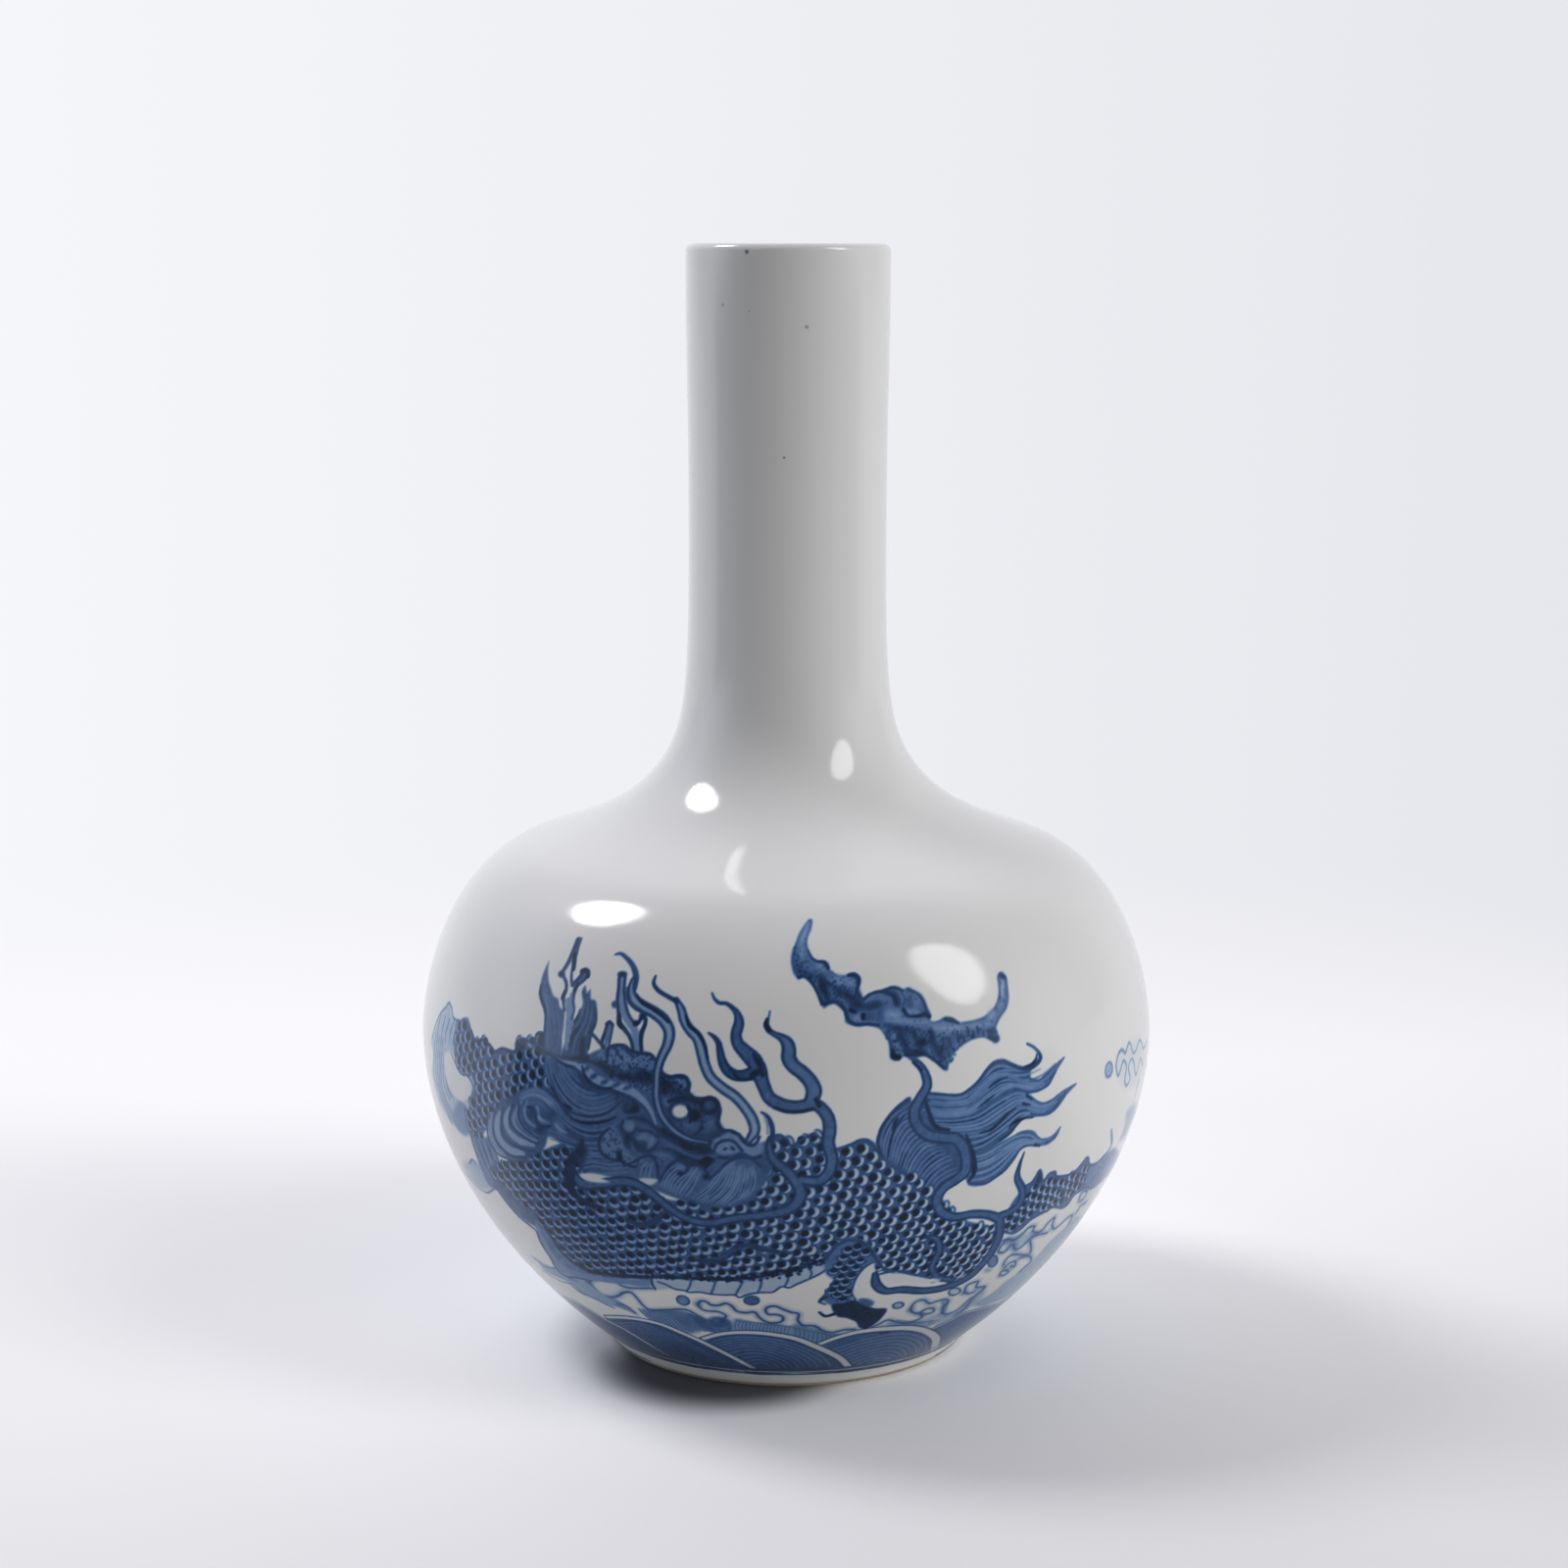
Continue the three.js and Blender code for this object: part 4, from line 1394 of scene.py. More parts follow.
        # the top group of strands
        top = [(944,1116),(966,1117),(980,1117),(990,1111),(999,1102.6),(1007.6,1091),(1015,1084),
            (1023.5,1082.4),(1032,1086),(1042,1090),(1051,1091),(1052,1101),(1059.5,1102.6),(1066.7,1097),
            (1077,1087),(1086,1079),(1078,1092.5),(1074,1100),(1069.6,1107),(1059.5,1112.7),(1049,1115),
            (1051,1118.5),(1058,1124),(1064,1126),(1072.5,1123),(1084,1114),(1098,1106),(1087,1118.5),
            (1079.7,1128.6),(1071,1136),(1061,1138),(1054,1140),(1044,1141.5),(1038,1147),(1031,1156),
            (1022,1164),(1002,1178),(984,1180),(975,1164),(950,1158),(938,1148),(936,1132),(942,1122)]
        b.area(top, .6, wear=.1)
        b.area([(984,1176),(1004,1174),(1024,1164),(1038,1157),(1045,1154.5),(1054,1155),(1059.5,1161),
            (1065,1163),(1074,1159),(1082,1150),(1078,1160),(1068,1168),(1057,1169),(1048,1169),(1041,1173),
            (1035,1182),(1026,1193.5),(1015,1202),(1005,1208),(989,1209)], .55, wear=.1)
        flow = [[(944,1117),(966,1119),(982,1118),(1002,1101),(1015,1087),(1032,1089),(1050,1094)],
            [(942,1126),(968,1128),(988,1126),(1006,1110),(1026,1096),(1050,1105),(1066,1099),(1084,1081)],
            [(942,1138),(970,1140),(992,1136),(1012,1122),(1034,1109),(1050,1112),(1062,1110),(1074,1100)]]
        b.hair(flow, 4.3, .33, .84, 2.2, .45)
        b.hair([[(946,1142),(973,1143),(996,1138),(1018,1124),(1040,1114),(1051,1120),(1064,1127),(1082,1117),
            (1096,1107)], [(965,1157),(985,1158),(1008,1154),(1028,1140),(1044,1128),(1058,1132),(1072,1131),
            (1084,1121)], [(984,1174),(1000,1172),(1018,1160),(1036,1146),(1048,1138),(1060,1138),
            (1070,1136)]], 4.3, .33, .86, 2.2, .5)
        b.hair([[(988,1180),(1004,1178),(1024,1167),(1042,1158),(1054,1159),(1062,1165),(1074,1160),
            (1082,1151)], [(988,1193),(1006,1189),(1024,1178),(1042,1165),(1054,1165),(1064,1167)],
            [(988,1206),(1004,1204),(1018,1196),(1030,1183),(1041,1171),(1056,1168)]], 5.6, .3, .66, 3.2, .9)
        b.lines([
            ([(944,1115),(966,1117),(980,1117),(990,1111),(999,1102.6),(1007.6,1091),(1015,1084),
                (1023.5,1082.4),(1032,1086),(1042,1090),(1051,1090),(1058,1085),(1061.7,1079.5),(1060,1074),
                (1054,1068),(1048,1065)], (2, 2.2, 2.6, 3, 3, 3.4, 4, 5, 3, 2), .7),
            ([(1046,1089),(1052,1086.6),(1057,1081),(1058,1076)], (2.4, 3, 1.6), .92),
            ([(1051,1101),(1059.5,1102.6),(1066.7,1097),(1077,1087),(1086,1079)], (2, 2, 1), .56),
            ([(1048,1115),(1059.5,1112.7),(1069.6,1107),(1074,1100),(1078,1092.5)], (2.4, 2, 1), .62),
            ([(1051,1118.5),(1058,1124),(1064,1126),(1072.5,1123),(1084,1114),(1098,1106)], (2, 2, .8), .56),
            ([(1052,1136),(1061,1138),(1071,1136),(1079.7,1128.6),(1087,1118.5)], (2, 2, 1), .62),
            ([(1054,1140),(1044,1141.5),(1038,1147),(1031,1156),(1020,1164)], (1.6, 2.6, 2), .8),
            ([(1009,1110),(1018,1103),(1028,1099)], (1, 2.6, 1), .84),
            ([(997.5,1131),(1007.6,1123),(1015,1117)], (1, 2.6, 1), .84),
            ([(1000,1156),(1010.5,1153),(1019,1146),(1028,1137),(1036.5,1131)], (1.2, 3.2, 3, 1), .93),
            ([(1030,1150),(1037,1144),(1049,1140)], (1.4, 3, 1), .95),
            ([(1048,1118),(1053,1122)], (2.6, 1.4), .86),
            ([(1044,1126),(1051,1127.5)], (2.6, 1.2), .86),
            ([(1038,1157),(1045,1154.5),(1054,1155),(1059.5,1161),(1065,1163),(1074,1159),(1082,1150)],
                (1.8, 2, .8), .5),
            ([(989,1208),(1005,1208),(1015,1202),(1026,1193.5),(1035,1182),(1041,1173),(1048,1169),
                (1057,1169)], (2, 2.4, 1.6), .66),
            ([(1056,1168),(1061,1169.5)], (2.6, 1.4), .84),
        ])
        # the shade beside the tendril
        b.lines([([(944,1122),(948,1136),(955,1150),(968,1153)], (2, 5, 3), .86),
            ([(986,1158),(992,1178),(994,1196),(988,1206)], (2, 6, 5, 2), .86)])

    def mane_ground(self) -> None:
        """The dark wash under the mane."""
        b = self.brush
        b.area([(555,1076),(575,1082),(600,1076),(615,1070),(640,1070),(660,1074),(672,1086),(682,1099),
            (700,1099),(704,1117),(718,1121),(732,1124),(735,1145),(742,1154),(757,1160),(770,1168),
            (786,1164),(788,1190),(776,1214),(757,1228),(735,1233),(700,1226),(672,1216),(645,1205),
            (612,1200),(592,1194),(590,1172),(575,1168),(560,1160),(556,1170),(545,1180),(530,1184),
            (515,1180),(503,1166),(498,1150),(502,1134),(524,1116),(540,1109),(558,1112),(557,1090)], .56,
            wear=.15)
        b.area([(590,1100),(606,1108),(625,1113),(640,1118),(628,1122),(606,1118),(594,1110)], .66, soft=1.2)
        b.area([(575,1148),(600,1156),(630,1150),(655,1140),(668,1150),(640,1160),(610,1170),(590,1168)], .64,
            soft=1.5)

    def whorls(self) -> None:
        """The curling strands of the mane."""
        b = self.brush
        b.hair([[(556,1080),(558,1096),(566,1116),(580,1134),(600,1143),(622,1139),(640,1124)],
            [(564,1082),(568,1098),(576,1112),(588,1124),(604,1130),(622,1125),(634,1116)],
            [(574,1084),(579,1096),(588,1106),(600,1113),(614,1113),(624,1111)],
            [(584,1085),(589,1093),(596,1100),(604,1106),(612,1108)]], 5.2, .4, .74, 2.2, .6)
        b.line([(562,1106),(568,1118),(580,1133),(598,1139),(618,1136),(636,1122)], (1.4, 2, 2.4, 1.4), .76)
        b.line([(583,1141),(592,1145),(604,1146),(618,1144),(628,1140)], (1.2, 3, 2.6, 1.4), .96)
        b.line([(563,1110),(572,1127),(583,1141)], (2, 2.6, 1.6), .84)
        b.line([(576,1127),(582,1131)], (2, 3.6), .94)
        b.hair([[(560,1114),(572,1134),(586,1147),(602,1152),(622,1149),(642,1138)],
            [(572,1146),(588,1156),(604,1161),(622,1157)]], 5.2, .42, .84, 2.0, .8)
        # the pale whorl at the left
        b.area([(530,1116),(545,1110),(560,1116),(572,1128),(566,1130),(552,1122),(540,1121),(531,1124)], .42,
            soft=.8)
        b.lines([
            ([(503,1138),(501,1152),(505,1168),(514,1178)], (7, 8.5, 8, 5), .3),
            ([(510,1134),(507,1148),(510,1162),(520,1173),(534,1177)], (3, 8, 9, 9, 5), .24),
            ([(520,1130),(516,1142),(519,1154),(530,1164),(544,1168)], (3, 7, 7.5, 8, 5), .24),
            ([(528,1130),(524,1142),(528,1152),(537,1160),(547,1164)], (3, 5, 5, 5, 3), .3),
            ([(532,1124),(527,1136),(531,1147),(540,1156),(549,1160)], (2, 3, 4, 4, 2), .32),
            ([(538,1124),(535,1134),(538,1143),(546,1150)], (2, 4.4, 4.4, 3), .32),
            ([(548,1131),(549,1139),(555,1144),(561,1146)], (5, 5, 4, 2), .26),
        ])
        b.lines([([(532,1121),(542,1117),(552,1119),(562,1127),(568,1134)], (2, 2.6, 3.4, 6, 2), .3),
            ([(534,1116),(545,1112),(556,1116),(566,1126)], (1.6, 2.2, 2, 1.6), .36),
            ([(540,1126),(548,1125),(556,1130),(566,1141),(576,1151)], (1.6, 2.2, 2, 1.4), .4),
            ([(566,1146),(572,1153),(578,1156)], (3, 5, 2), .3)])
        b.lines([
            ([(498,1134),(497,1150),(500,1166),(509,1178),(522,1184)], (2, 2.6, 2.6, 2), .66),
            ([(505,1133),(503,1148),(505,1162),(513,1173),(524,1180),(536,1181)], (1.6, 2.8, 3, 2.6, 2), .7),
            ([(514,1131),(512,1145),(514,1158),(524,1168),(536,1173),(546,1174)], (1.8, 3, 3, 2.4, 1.8), .7),
            ([(524,1127),(520,1140),(523,1150),(532,1158),(541,1164),(549,1167)], (1.8, 2.6, 2.6, 2.4, 1.6),
                .7),
            ([(530,1127),(529,1140),(534,1150),(542,1157),(549,1161)], (1.6, 2.4, 2.2, 1.6), .72),
            ([(537,1130),(542,1130),(546,1136),(548,1146),(555,1150),(562,1149)], (1.4, 2.6, 3, 3, 2.4, 1.6),
                .76),
            ([(548,1108),(560,1114),(572,1127),(584,1141)], (1.6, 2.4, 2.2, 1.6), .68),
        ])
        b.washes([((543,1136), 10, 12, .66, 0, .8), ((562,1138), 12, 14, .62, 40, 1.4),
            ((552,1153), 12, 8, .7, 0, .8)])
        b.hair([[(556,1152),(572,1157),(590,1165),(606,1166),(622,1160)], [(560,1162),(576,1167),(590,1174)]],
            4.6, .4, .74, 1.8, .5)
        b.hair([[(598,1164),(606,1166),(614,1166)], [(597,1178),(606,1178),(616,1178),(626,1182)],
            [(594,1192),(606,1189),(622,1192),(640,1190),(656,1184)], [(596,1199),(612,1199),(634,1198),
            (650,1196)]], 5.0, .42, .74, 1.9, .5)
        b.area([(588,1168),(594,1166),(598,1172),(597,1184),(592,1192),(590,1180)], .8, soft=.9)

    def tufts(self) -> None:
        """The two tufts that stand over the brow."""
        b = self.brush
        b.area([(554,1074),(555,1058),(556,1045),(556,1032),(553,1022),(551,1013),(552,1003),(555,992),
            (560,981),(560,981),(559,990),(560,1003),(562,1009),(565,1017),(569,1019),(571,1028),(575,1031),
            (575,1045),(573,1060),(571,1078),(562,1077)], .6, wear=.1)
        b.area([(573,1078),(576,1066),(579,1056),(584,1044),(591,1034),(595,1024),(594,1012),(597,1006),
            (599,1014),(602,1010),(603,1020),(607,1021),(609,1030),(608,1042),(603,1054),(600,1068),
            (598,1080),(585,1081)], .66, wear=.1)
        b.hair([[(556,1072),(557,1050),(557,1030),(554,1012),(557,992)], [(563,1074),(563,1050),(561,1030),
            (558,1010)], [(569,1075),(569,1050),(568,1035),(565,1022)], [(573,1074),(573,1052),(573,1040),
            (573,1034)]], 4.2, .42, .74, 1.7)
        b.hair([[(577,1074),(580,1058),(588,1044),(594,1032),(596,1014)], [(585,1076),(588,1060),(597,1044),
            (600,1030),(600,1016)], [(595,1076),(597,1060),(602,1048),(605,1036),(606,1026)]], 4.4, .44, .8,
            1.8, .5)
        b.line([(552,1005),(551,1013),(553,1021),(556,1030),(557,1040)], (1.6, 3, 3.4, 1.6), .88)
        b.line([(557,1036),(556,1050),(555,1064),(554,1074)], (2.4, 3), .72)
        b.lines([([(607,1028),(608,1042),(603,1055),(600,1070)], (1.6, 2.4, 3, 3), .74),
            ([(592,1030),(588,1040),(580,1050),(577,1060)], (1.4, 2.4, 1.4), .78),
            ([(582,1066),(585,1056),(592,1047)], (4, 5, 3), .8), ([(595,1060),(594,1070),(594,1078)],
            (4, 6, 6), .86)])
        b.line([(562,1078),(572,1080),(580,1081),(590,1080),(599,1079)], (3.4, 6, 4.4, 5, 5.4), .86)
        b.comb([[(578,1070),(578,1052),(579,1036),(578,1020)], [(584,1046),(584,1034),(584,1022),(585,1012)]],
            4, (3.4, 3.2, 2.6), .3)

    def antlers(self) -> None:
        """The antlers."""
        b = self.brush
        b.area([(592,957),(589,967),(585,977),(578,989),(575,992),(580,980),(585,966),(589,957)], .5)
        b.lines([
            ([(590,958),(586,968),(581,979),(576,988),(573,993)], (3.4, 3.4, 3, 3), .72),
            ([(593,958),(590,966),(588,974)], (2.6, 3, 3), .66),
            ([(587,973),(586,981),(585,989)], (3.4, 4.6, 4), .99),
            ([(575,996),(578,1004),(577,1012),(575,1016),(575,1024),(576,1031)], (2.8, 3, 3.4, 3.8, 2.6, 2.2),
                .76),
            ([(577,1011),(574,1018)], (3, 3.8), .94),
            ([(584,989),(583,998),(584,1005)], (2.2, 2.6, 3), .72),
        ])
        b.oval((573,994), 6.4, 6.4, .8)
        b.line([(586,1004),(592,999),(597,993)], (6, 6.5, 8), .5)
        b.lines([([(584,1005),(590,999),(595,992)], (3.2, 3.2, 3.2), .76), ([(589,1006),(595,1001),(600,996)],
            (2.6, 3, 3), .7), ([(594,991),(597,990),(600,992),(600,996)], (4.6, 4.6, 4), .88),
            ([(590,1004),(587,1009),(586,1013)], (3, 4.2, 3.4), .93), ([(586,1013),(585,1022),(586,1031),
            (583,1040)], (2.6, 2.2, 1.8), .7)])
        b.line([(634,997),(634,1012),(635,1026),(640,1040),(647,1050),(649,1062),(649,1076)],
            (7, 6.5, 7, 8, 7, 7), .3)
        b.lines([
            ([(632,996),(631,1010),(630,1020),(631,1032),(632,1043),(637,1050),(642,1057),(645,1066),
                (646,1077)], (2.6, 3, 3, 3.2, 4.6, 3.6, 3, 3.2), .78),
            ([(632,1036),(632,1044),(634,1048)], (3.4, 5, 3.4), .96),
            ([(638,997),(637,1010),(638,1022),(641,1034),(645,1041),(649,1045)], (2.6, 2.8, 2.6, 2.6, 3),
                .72),
            ([(648,1045),(652,1043),(654,1039)], (4, 3.2, 3), .88),
            ([(659,1040),(658,1046),(655,1053),(654,1062),(655,1077)], (3, 3.6, 4.2, 3.4, 3.4), .9),
            ([(620,1045),(617,1055),(614,1064),(615,1069)], (3, 3.4, 3.4, 3), .84),
            ([(625,1047),(623,1057),(621,1068)], (2.6, 2.6, 2.2), .7),
            ([(619,1045),(622,1043),(625,1046)], (3, 3.4, 3), .8),
            ([(602,1053),(607,1058),(612,1064),(617,1069)], (3.4, 2.6, 2.8, 3), .8),
        ])
        b.line([(622,1048),(620,1057),(618,1066)], (4, 4, 3), .42)
        b.oval((627,1025), 5.4, 7, .66)
        b.oval((635,994), 9, 5.4, .84)
        b.oval((649,1044), 5, 5, .96)
        b.oval((656,1037), 7, 7, .9)

    def head(self) -> None:
        """The brow, face, jaw and beard."""
        b = self.brush
        brow = [(606,1082),(614,1072),(620,1068),(626,1066),(638,1067),(645,1073),(655,1075),(664,1077),
            (671,1086),(677,1098),(690,1098),(700,1099),(703,1106),(702,1117),(690,1120),(672,1118),
            (655,1112),(635,1106),(618,1096)]
        b.area(brow, .4, wear=.15)
        b.washes([((640,1080), 50, 12, .33, 8, 1.8), ((693,1106), 18, 12, .4, 0, 1.4)])
        b.line([(610,1084),(622,1093),(640,1098),(662,1099),(678,1106),(692,1114),(704,1120)],
            (5, 8, 9, 10, 9, 6), .76, soft=1.8, wear=.4)
        b.washes([((622,1093), 8, 5, .9, 20, 1.1), ((653,1099), 12, 7, .88, 0, 1.4),
            ((678,1112), 9, 11, .9, 20, 1.4)])
        b.stipple(brow, 230, 2.0, .5)
        b.stipple([(612,1078),(625,1086),(650,1090),(668,1094),(690,1102),(700,1112),(680,1118),(650,1106),
            (622,1098)], 110, 2.2, .55)
        b.lines([
            ([(619,1078),(621,1070),(627,1067),(637,1067),(643,1072),(654,1075),(664,1076),(670,1084),
                (676,1095),(684,1099),(692,1098),(699,1099),(703,1106),(702,1115),(710,1121),(717,1121)],
                (3, 3.4, 2.8, 3, 3, 2.6, 2.6, 3, 3, 3.6, 3.4, 3.6, 3.6, 3, 3), .8),
            ([(628,1069),(631,1076),(636,1082)], (3, 2.4, 1.4), .72), ([(637,1068),(641,1074),(648,1079)],
                (3, 2.4, 1.4), .72),
        ])
        # twisted band
        b.line([(556,1074),(570,1081),(582,1085),(592,1092),(598,1102),(608,1109),(620,1110),(634,1113),
            (648,1120),(660,1130),(668,1144)], (4, 6, 7, 10, 12, 12, 11, 11, 10, 8, 5), .66)
        b.line([(560,1077),(572,1083),(584,1085),(592,1088),(600,1094),(610,1102),(624,1107),(640,1112),
            (652,1119),(662,1130),(669,1146)], (2, 3.6, 4, 7, 9, 8.5, 7.5, 8, 7, 5, 3), .25)
        for middle, across, down, lean in (((599,1090), 8, 4, -35), ((606,1098), 9, 4.4, -35),
                ((617,1104), 9, 4, -30), ((629,1107), 9, 3.6, -25), ((640,1110), 9, 3.4, -20)):
            b.oval(middle, across, down, .66, lean=lean)
        b.lines([([(594,1088),(597,1098),(605,1107),(616,1111),(624,1110)], (2, 2.8, 3, 3, 2), .84),
            ([(556,1073),(566,1080),(578,1087),(586,1089)], (1.6, 2.4, 2.6, 2), .8),
            ([(590,1084),(600,1083),(612,1087),(622,1094)], (2.4, 3.4, 3.4, 3), .8),
            ([(624,1112),(636,1117),(646,1124),(650,1130)], (1.8, 2.2, 2, 1.8), .76)])
        # ear and the dark behind it
        b.washes([((648,1131), 9, 8, .96, 30, .7), ((642,1134), 10, 4, .9, 0, .8),
            ((640,1126), 8, 12, .72, 20, 1.2)])
        # face
        face = [(680,1120),(704,1118),(718,1121),(730,1122),(735,1130),(734,1145),(740,1155),(750,1156),
            (756,1163),(740,1168),(715,1166),(695,1158),(684,1146),(678,1132)]
        b.area(face, .66, wear=.2)
        b.washes([((704,1148), 20, 13, .48, 25, 1.4), ((723,1147), 15, 16, .48, 0, 1.2),
            ((692,1152), 12, 8, .56, 40, 1.2), ((680,1125), 5, 8, .36, 0, .9),
            ((737,1160), 20, 6, .7, 10, 1)])
        b.stipple(face, 80, 2.0, .4)
        b.ring((724,1128), 17, 15, 4.2, .88)
        b.oval((724,1127), 7, 5, .56, soft=.8)
        b.oval((694,1134), 21, 18, .84, soft=.6)
        b.oval((694,1134), 17, 14.5, .0, soft=.5)
        b.oval((709,1138), 12, 11, .99, soft=.6)
        b.lines([([(702,1130),(706,1138),(704,1145)], 2.4, .92), ([(682,1124),(690,1122),(702,1121),
            (712,1124)], (3, 5, 5.4), .86), ([(716,1140),(716,1150),(710,1158)], (2, 2.6, 2), .78),
            ([(732,1146),(737,1153),(746,1154),(752,1157),(758,1163)], (3.4, 2.8, 3, 3), .78),
            ([(731,1124),(734,1132),(733,1142)], (3, 4, 3), .82)])
        # jaw, lips and tongue
        b.line([(676,1154),(690,1160),(704,1170),(720,1173),(732,1172)], (7, 9, 10, 9, 5), .88, soft=1.4,
            wear=.25)
        b.lines([([(640,1160),(660,1172),(684,1176),(700,1184),(716,1188),(726,1184)], (4, 7, 8, 9, 9, 6),
            .78), ([(716,1190),(722,1184)], (10, 8), .93), ([(718,1196),(722,1202)], (6, 5), .95)])
        b.area([(726,1172),(728,1164),(736,1159),(746,1155),(754,1157),(760,1164),(768,1168),(778,1166),
            (778,1174),(773,1180),(762,1180),(756,1176),(745,1178),(735,1178)], .3, wear=.1)
        b.lines([
            ([(728,1176),(731,1168),(738,1164),(747,1164),(753,1169),(757,1174)], (2.6, 3, 2.6, 3), .74),
            ([(739,1173),(744,1170),(749,1173)], (2, 3, 2), .86),
            ([(747,1155),(754,1158),(759,1165),(767,1169),(772,1166),(775,1160)], (3, 3, 3, 2.6, 2.4), .8),
            ([(734,1181),(746,1182),(757,1178),(768,1182),(776,1180)], (3, 4, 4, 4), .72),
        ])
        b.oval((743,1170), 6, 3.4, .2, lean=10)
        # cheek, eye and beard
        b.area([(618,1152),(627,1150),(633,1158),(638,1170),(646,1182),(650,1188),(640,1188),(626,1184),
            (616,1176),(612,1164)], .38, soft=.8)
        b.washes([((642,1149), 13, 13, .36, 0, .7), ((656,1161), 13, 11, .36, 0, .8),
            ((664,1166), 8, 14, .34, 25, .7), ((676,1178), 24, 8, .38, 12, 1.4),
            ((655,1184), 26, 7, .38, 0, 1.4), ((640,1164), 6, 13, .82, -10, .9),
            ((656,1167), 7, 5, .78, 20, .8), ((672,1158), 6, 6, .7, 0, 1)])
        b.stipple([(614,1160),(628,1152),(640,1180),(668,1180),(690,1184),(668,1188),(640,1186),(618,1178)],
            70, 2.0, .45)
        b.lines([
            ([(622,1151),(614,1158),(611,1168),(615,1178),(624,1183),(632,1184)], (2, 2.8, 3, 3, 3, 2), .78),
            ([(636,1143),(634,1150),(638,1156),(646,1156),(650,1150)], (2, 2.6, 2.2, 2), .74),
            ([(640,1141),(652,1141),(664,1147),(676,1158),(692,1168)], (2, 3, 3, 3.4, 3), .74),
            ([(645,1158),(647,1168),(655,1175),(666,1173),(672,1165)], (2, 2.6, 3, 2.6, 2), .72),
            ([(652,1154),(662,1154),(670,1160)], (2, 2.4, 2), .74),
            ([(632,1176),(634,1184),(640,1189),(652,1190),(662,1184),(668,1181)],
                (4.4, 3.4, 2.6, 2.6, 2.4, 2), .82),
        ])
        b.washes([((632,1181), 5, 8, .93, 0, .6), ((655,1149), 14, 4, .46, 20, 1)])
        # the lower mane
        lower = [(640,1204),(650,1190),(660,1182),(667,1181),(671,1190),(671,1200),(676,1192),(690,1183),
            (698,1186),(702,1192),(710,1187),(718,1192),(726,1200),(735,1188),(750,1180),(765,1182),
            (776,1192),(776,1212),(760,1227),(740,1232),(712,1226),(690,1218),(668,1208)]
        b.area(lower, .5, wear=.1)
        b.hair([[(652,1200),(655,1190),(662,1184)], [(664,1201),(665,1192),(667,1186)]], 3.3, .3, .7, 1.6, .8)
        b.hair([[(674,1212),(676,1202),(684,1192),(694,1187)], [(686,1218),(690,1208),(700,1198),(708,1190)],
            [(700,1222),(708,1212),(712,1203),(716,1194)]], 3.4, .3, .7, 1.7, .8)
        b.hair([[(706,1222),(718,1214),(727,1204),(735,1193),(746,1184)], [(722,1229),(736,1219),(745,1207),
            (749,1194),(753,1185)], [(744,1230),(755,1218),(759,1204),(760,1188)],
            [(764,1222),(770,1211),(771,1200),(768,1187)]], 3.4, .29, .72, 1.7, .8)
        b.lines([
            ([(636,1190),(646,1186),(655,1181),(663,1179),(669,1184),(671,1193),(672,1202)],
                (2, 2.6, 3, 3, 3, 2.4), .74),
            ([(673,1206),(678,1196),(686,1187),(693,1184),(699,1187),(702,1193),(698,1197),(693,1198)],
                (2, 2.6, 3, 3, 2.6, 2), .74),
            ([(700,1194),(706,1189),(713,1189),(720,1195),(724,1203)], (2, 2.4, 2.8, 2.6, 3), .74),
            ([(724,1203),(732,1196),(740,1188),(752,1181),(766,1182),(776,1190)], (2, 2.8, 3, 3, 2.4), .7),
        ])
        b.washes([((694,1197), 5, 4, .92, 0, .6), ((720,1201), 5, 5, .93, 0, .6)])
        b.area([(590,1199),(600,1197),(616,1199),(630,1204),(628,1206),(612,1206),(600,1205)], .05)
        b.area([(652,1203),(662,1202),(671,1204),(666,1209),(656,1208)], .07)

    def flames(self) -> None:
        """The flame ribbons round the body."""
        b = self.brush
        b.braid([
            ([(770,1082),(774,1092),(777,1102),(780,1110),(785,1120),(794,1126),(804,1129),(816,1129),
                (828,1126)], (13, 15, 13, 12, 12, 12.5, 12, 11, 12), .82, .5, 2.2, None),
            ([(726.5,1013),(729,1019),(734,1023.5),(741,1024),(747,1028),(752,1034),(754,1044),(751,1056),
                (753,1065),(760,1073),(768,1081),(774,1090)], (1.4, 2.4, 3, 3.2, 4, 6, 9.5, 10, 11, 13, 15,
                14), .82, .52, 2.2, None),
            ([(723,1054),(728,1057.5),(733,1064),(735,1074),(737,1083),(742,1092),(750,1097),(760,1097),
                (769,1093)], (1.6, 3.4, 5, 6.6, 8, 9.5, 10, 10, 10), .84, .6, 2.2, None),
            ([(785.5,1032),(784,1040),(782,1045),(784,1051),(790,1055),(797,1058.5),(803,1064),(805,1071),
                (805,1080),(810,1088),(818.5,1094.5),(827,1104),(830.5,1113),(828,1123)],
                (1.2, 2, 4.4, 4.6, 5, 7, 11, 13, 13.5, 13, 13, 13.5, 14.5, 13), .8, .48, 2.2, .42),
            ([(829,1125),(838,1131),(845,1141),(846.5,1153),(845,1166),(849,1184),(846,1196),(836,1205),
                (818,1204)], (11, 11.5, 12, 12.5, 12.5, 12, 12, 11.5, 10), .8, .48, 2.2, None),
            ([(786,1162),(785,1172),(790,1184),(802,1194),(812,1206),(817,1217),(813,1228),(800,1236),
                (780,1240),(752,1243),(722,1248),(700,1243),(682,1232),(662,1216),(642,1206),(612,1208),
                (594,1208),(586,1200)], (6, 7.5, 10, 11, 12, 12.5, 12, 11, 10, 10, 10, 10, 11, 11, 11, 12,
                12), .78, .5, 2.2, None),
        ])
        b.line([(769,1076),(775,1086),(778,1097)], (3, 5, 4), .88)
        b.line([(768,1097),(773,1094)], 5.5, .93)
        b.line([(782.5,1040),(782,1046),(785,1051)], (2.4, 4.4, 4), .97)
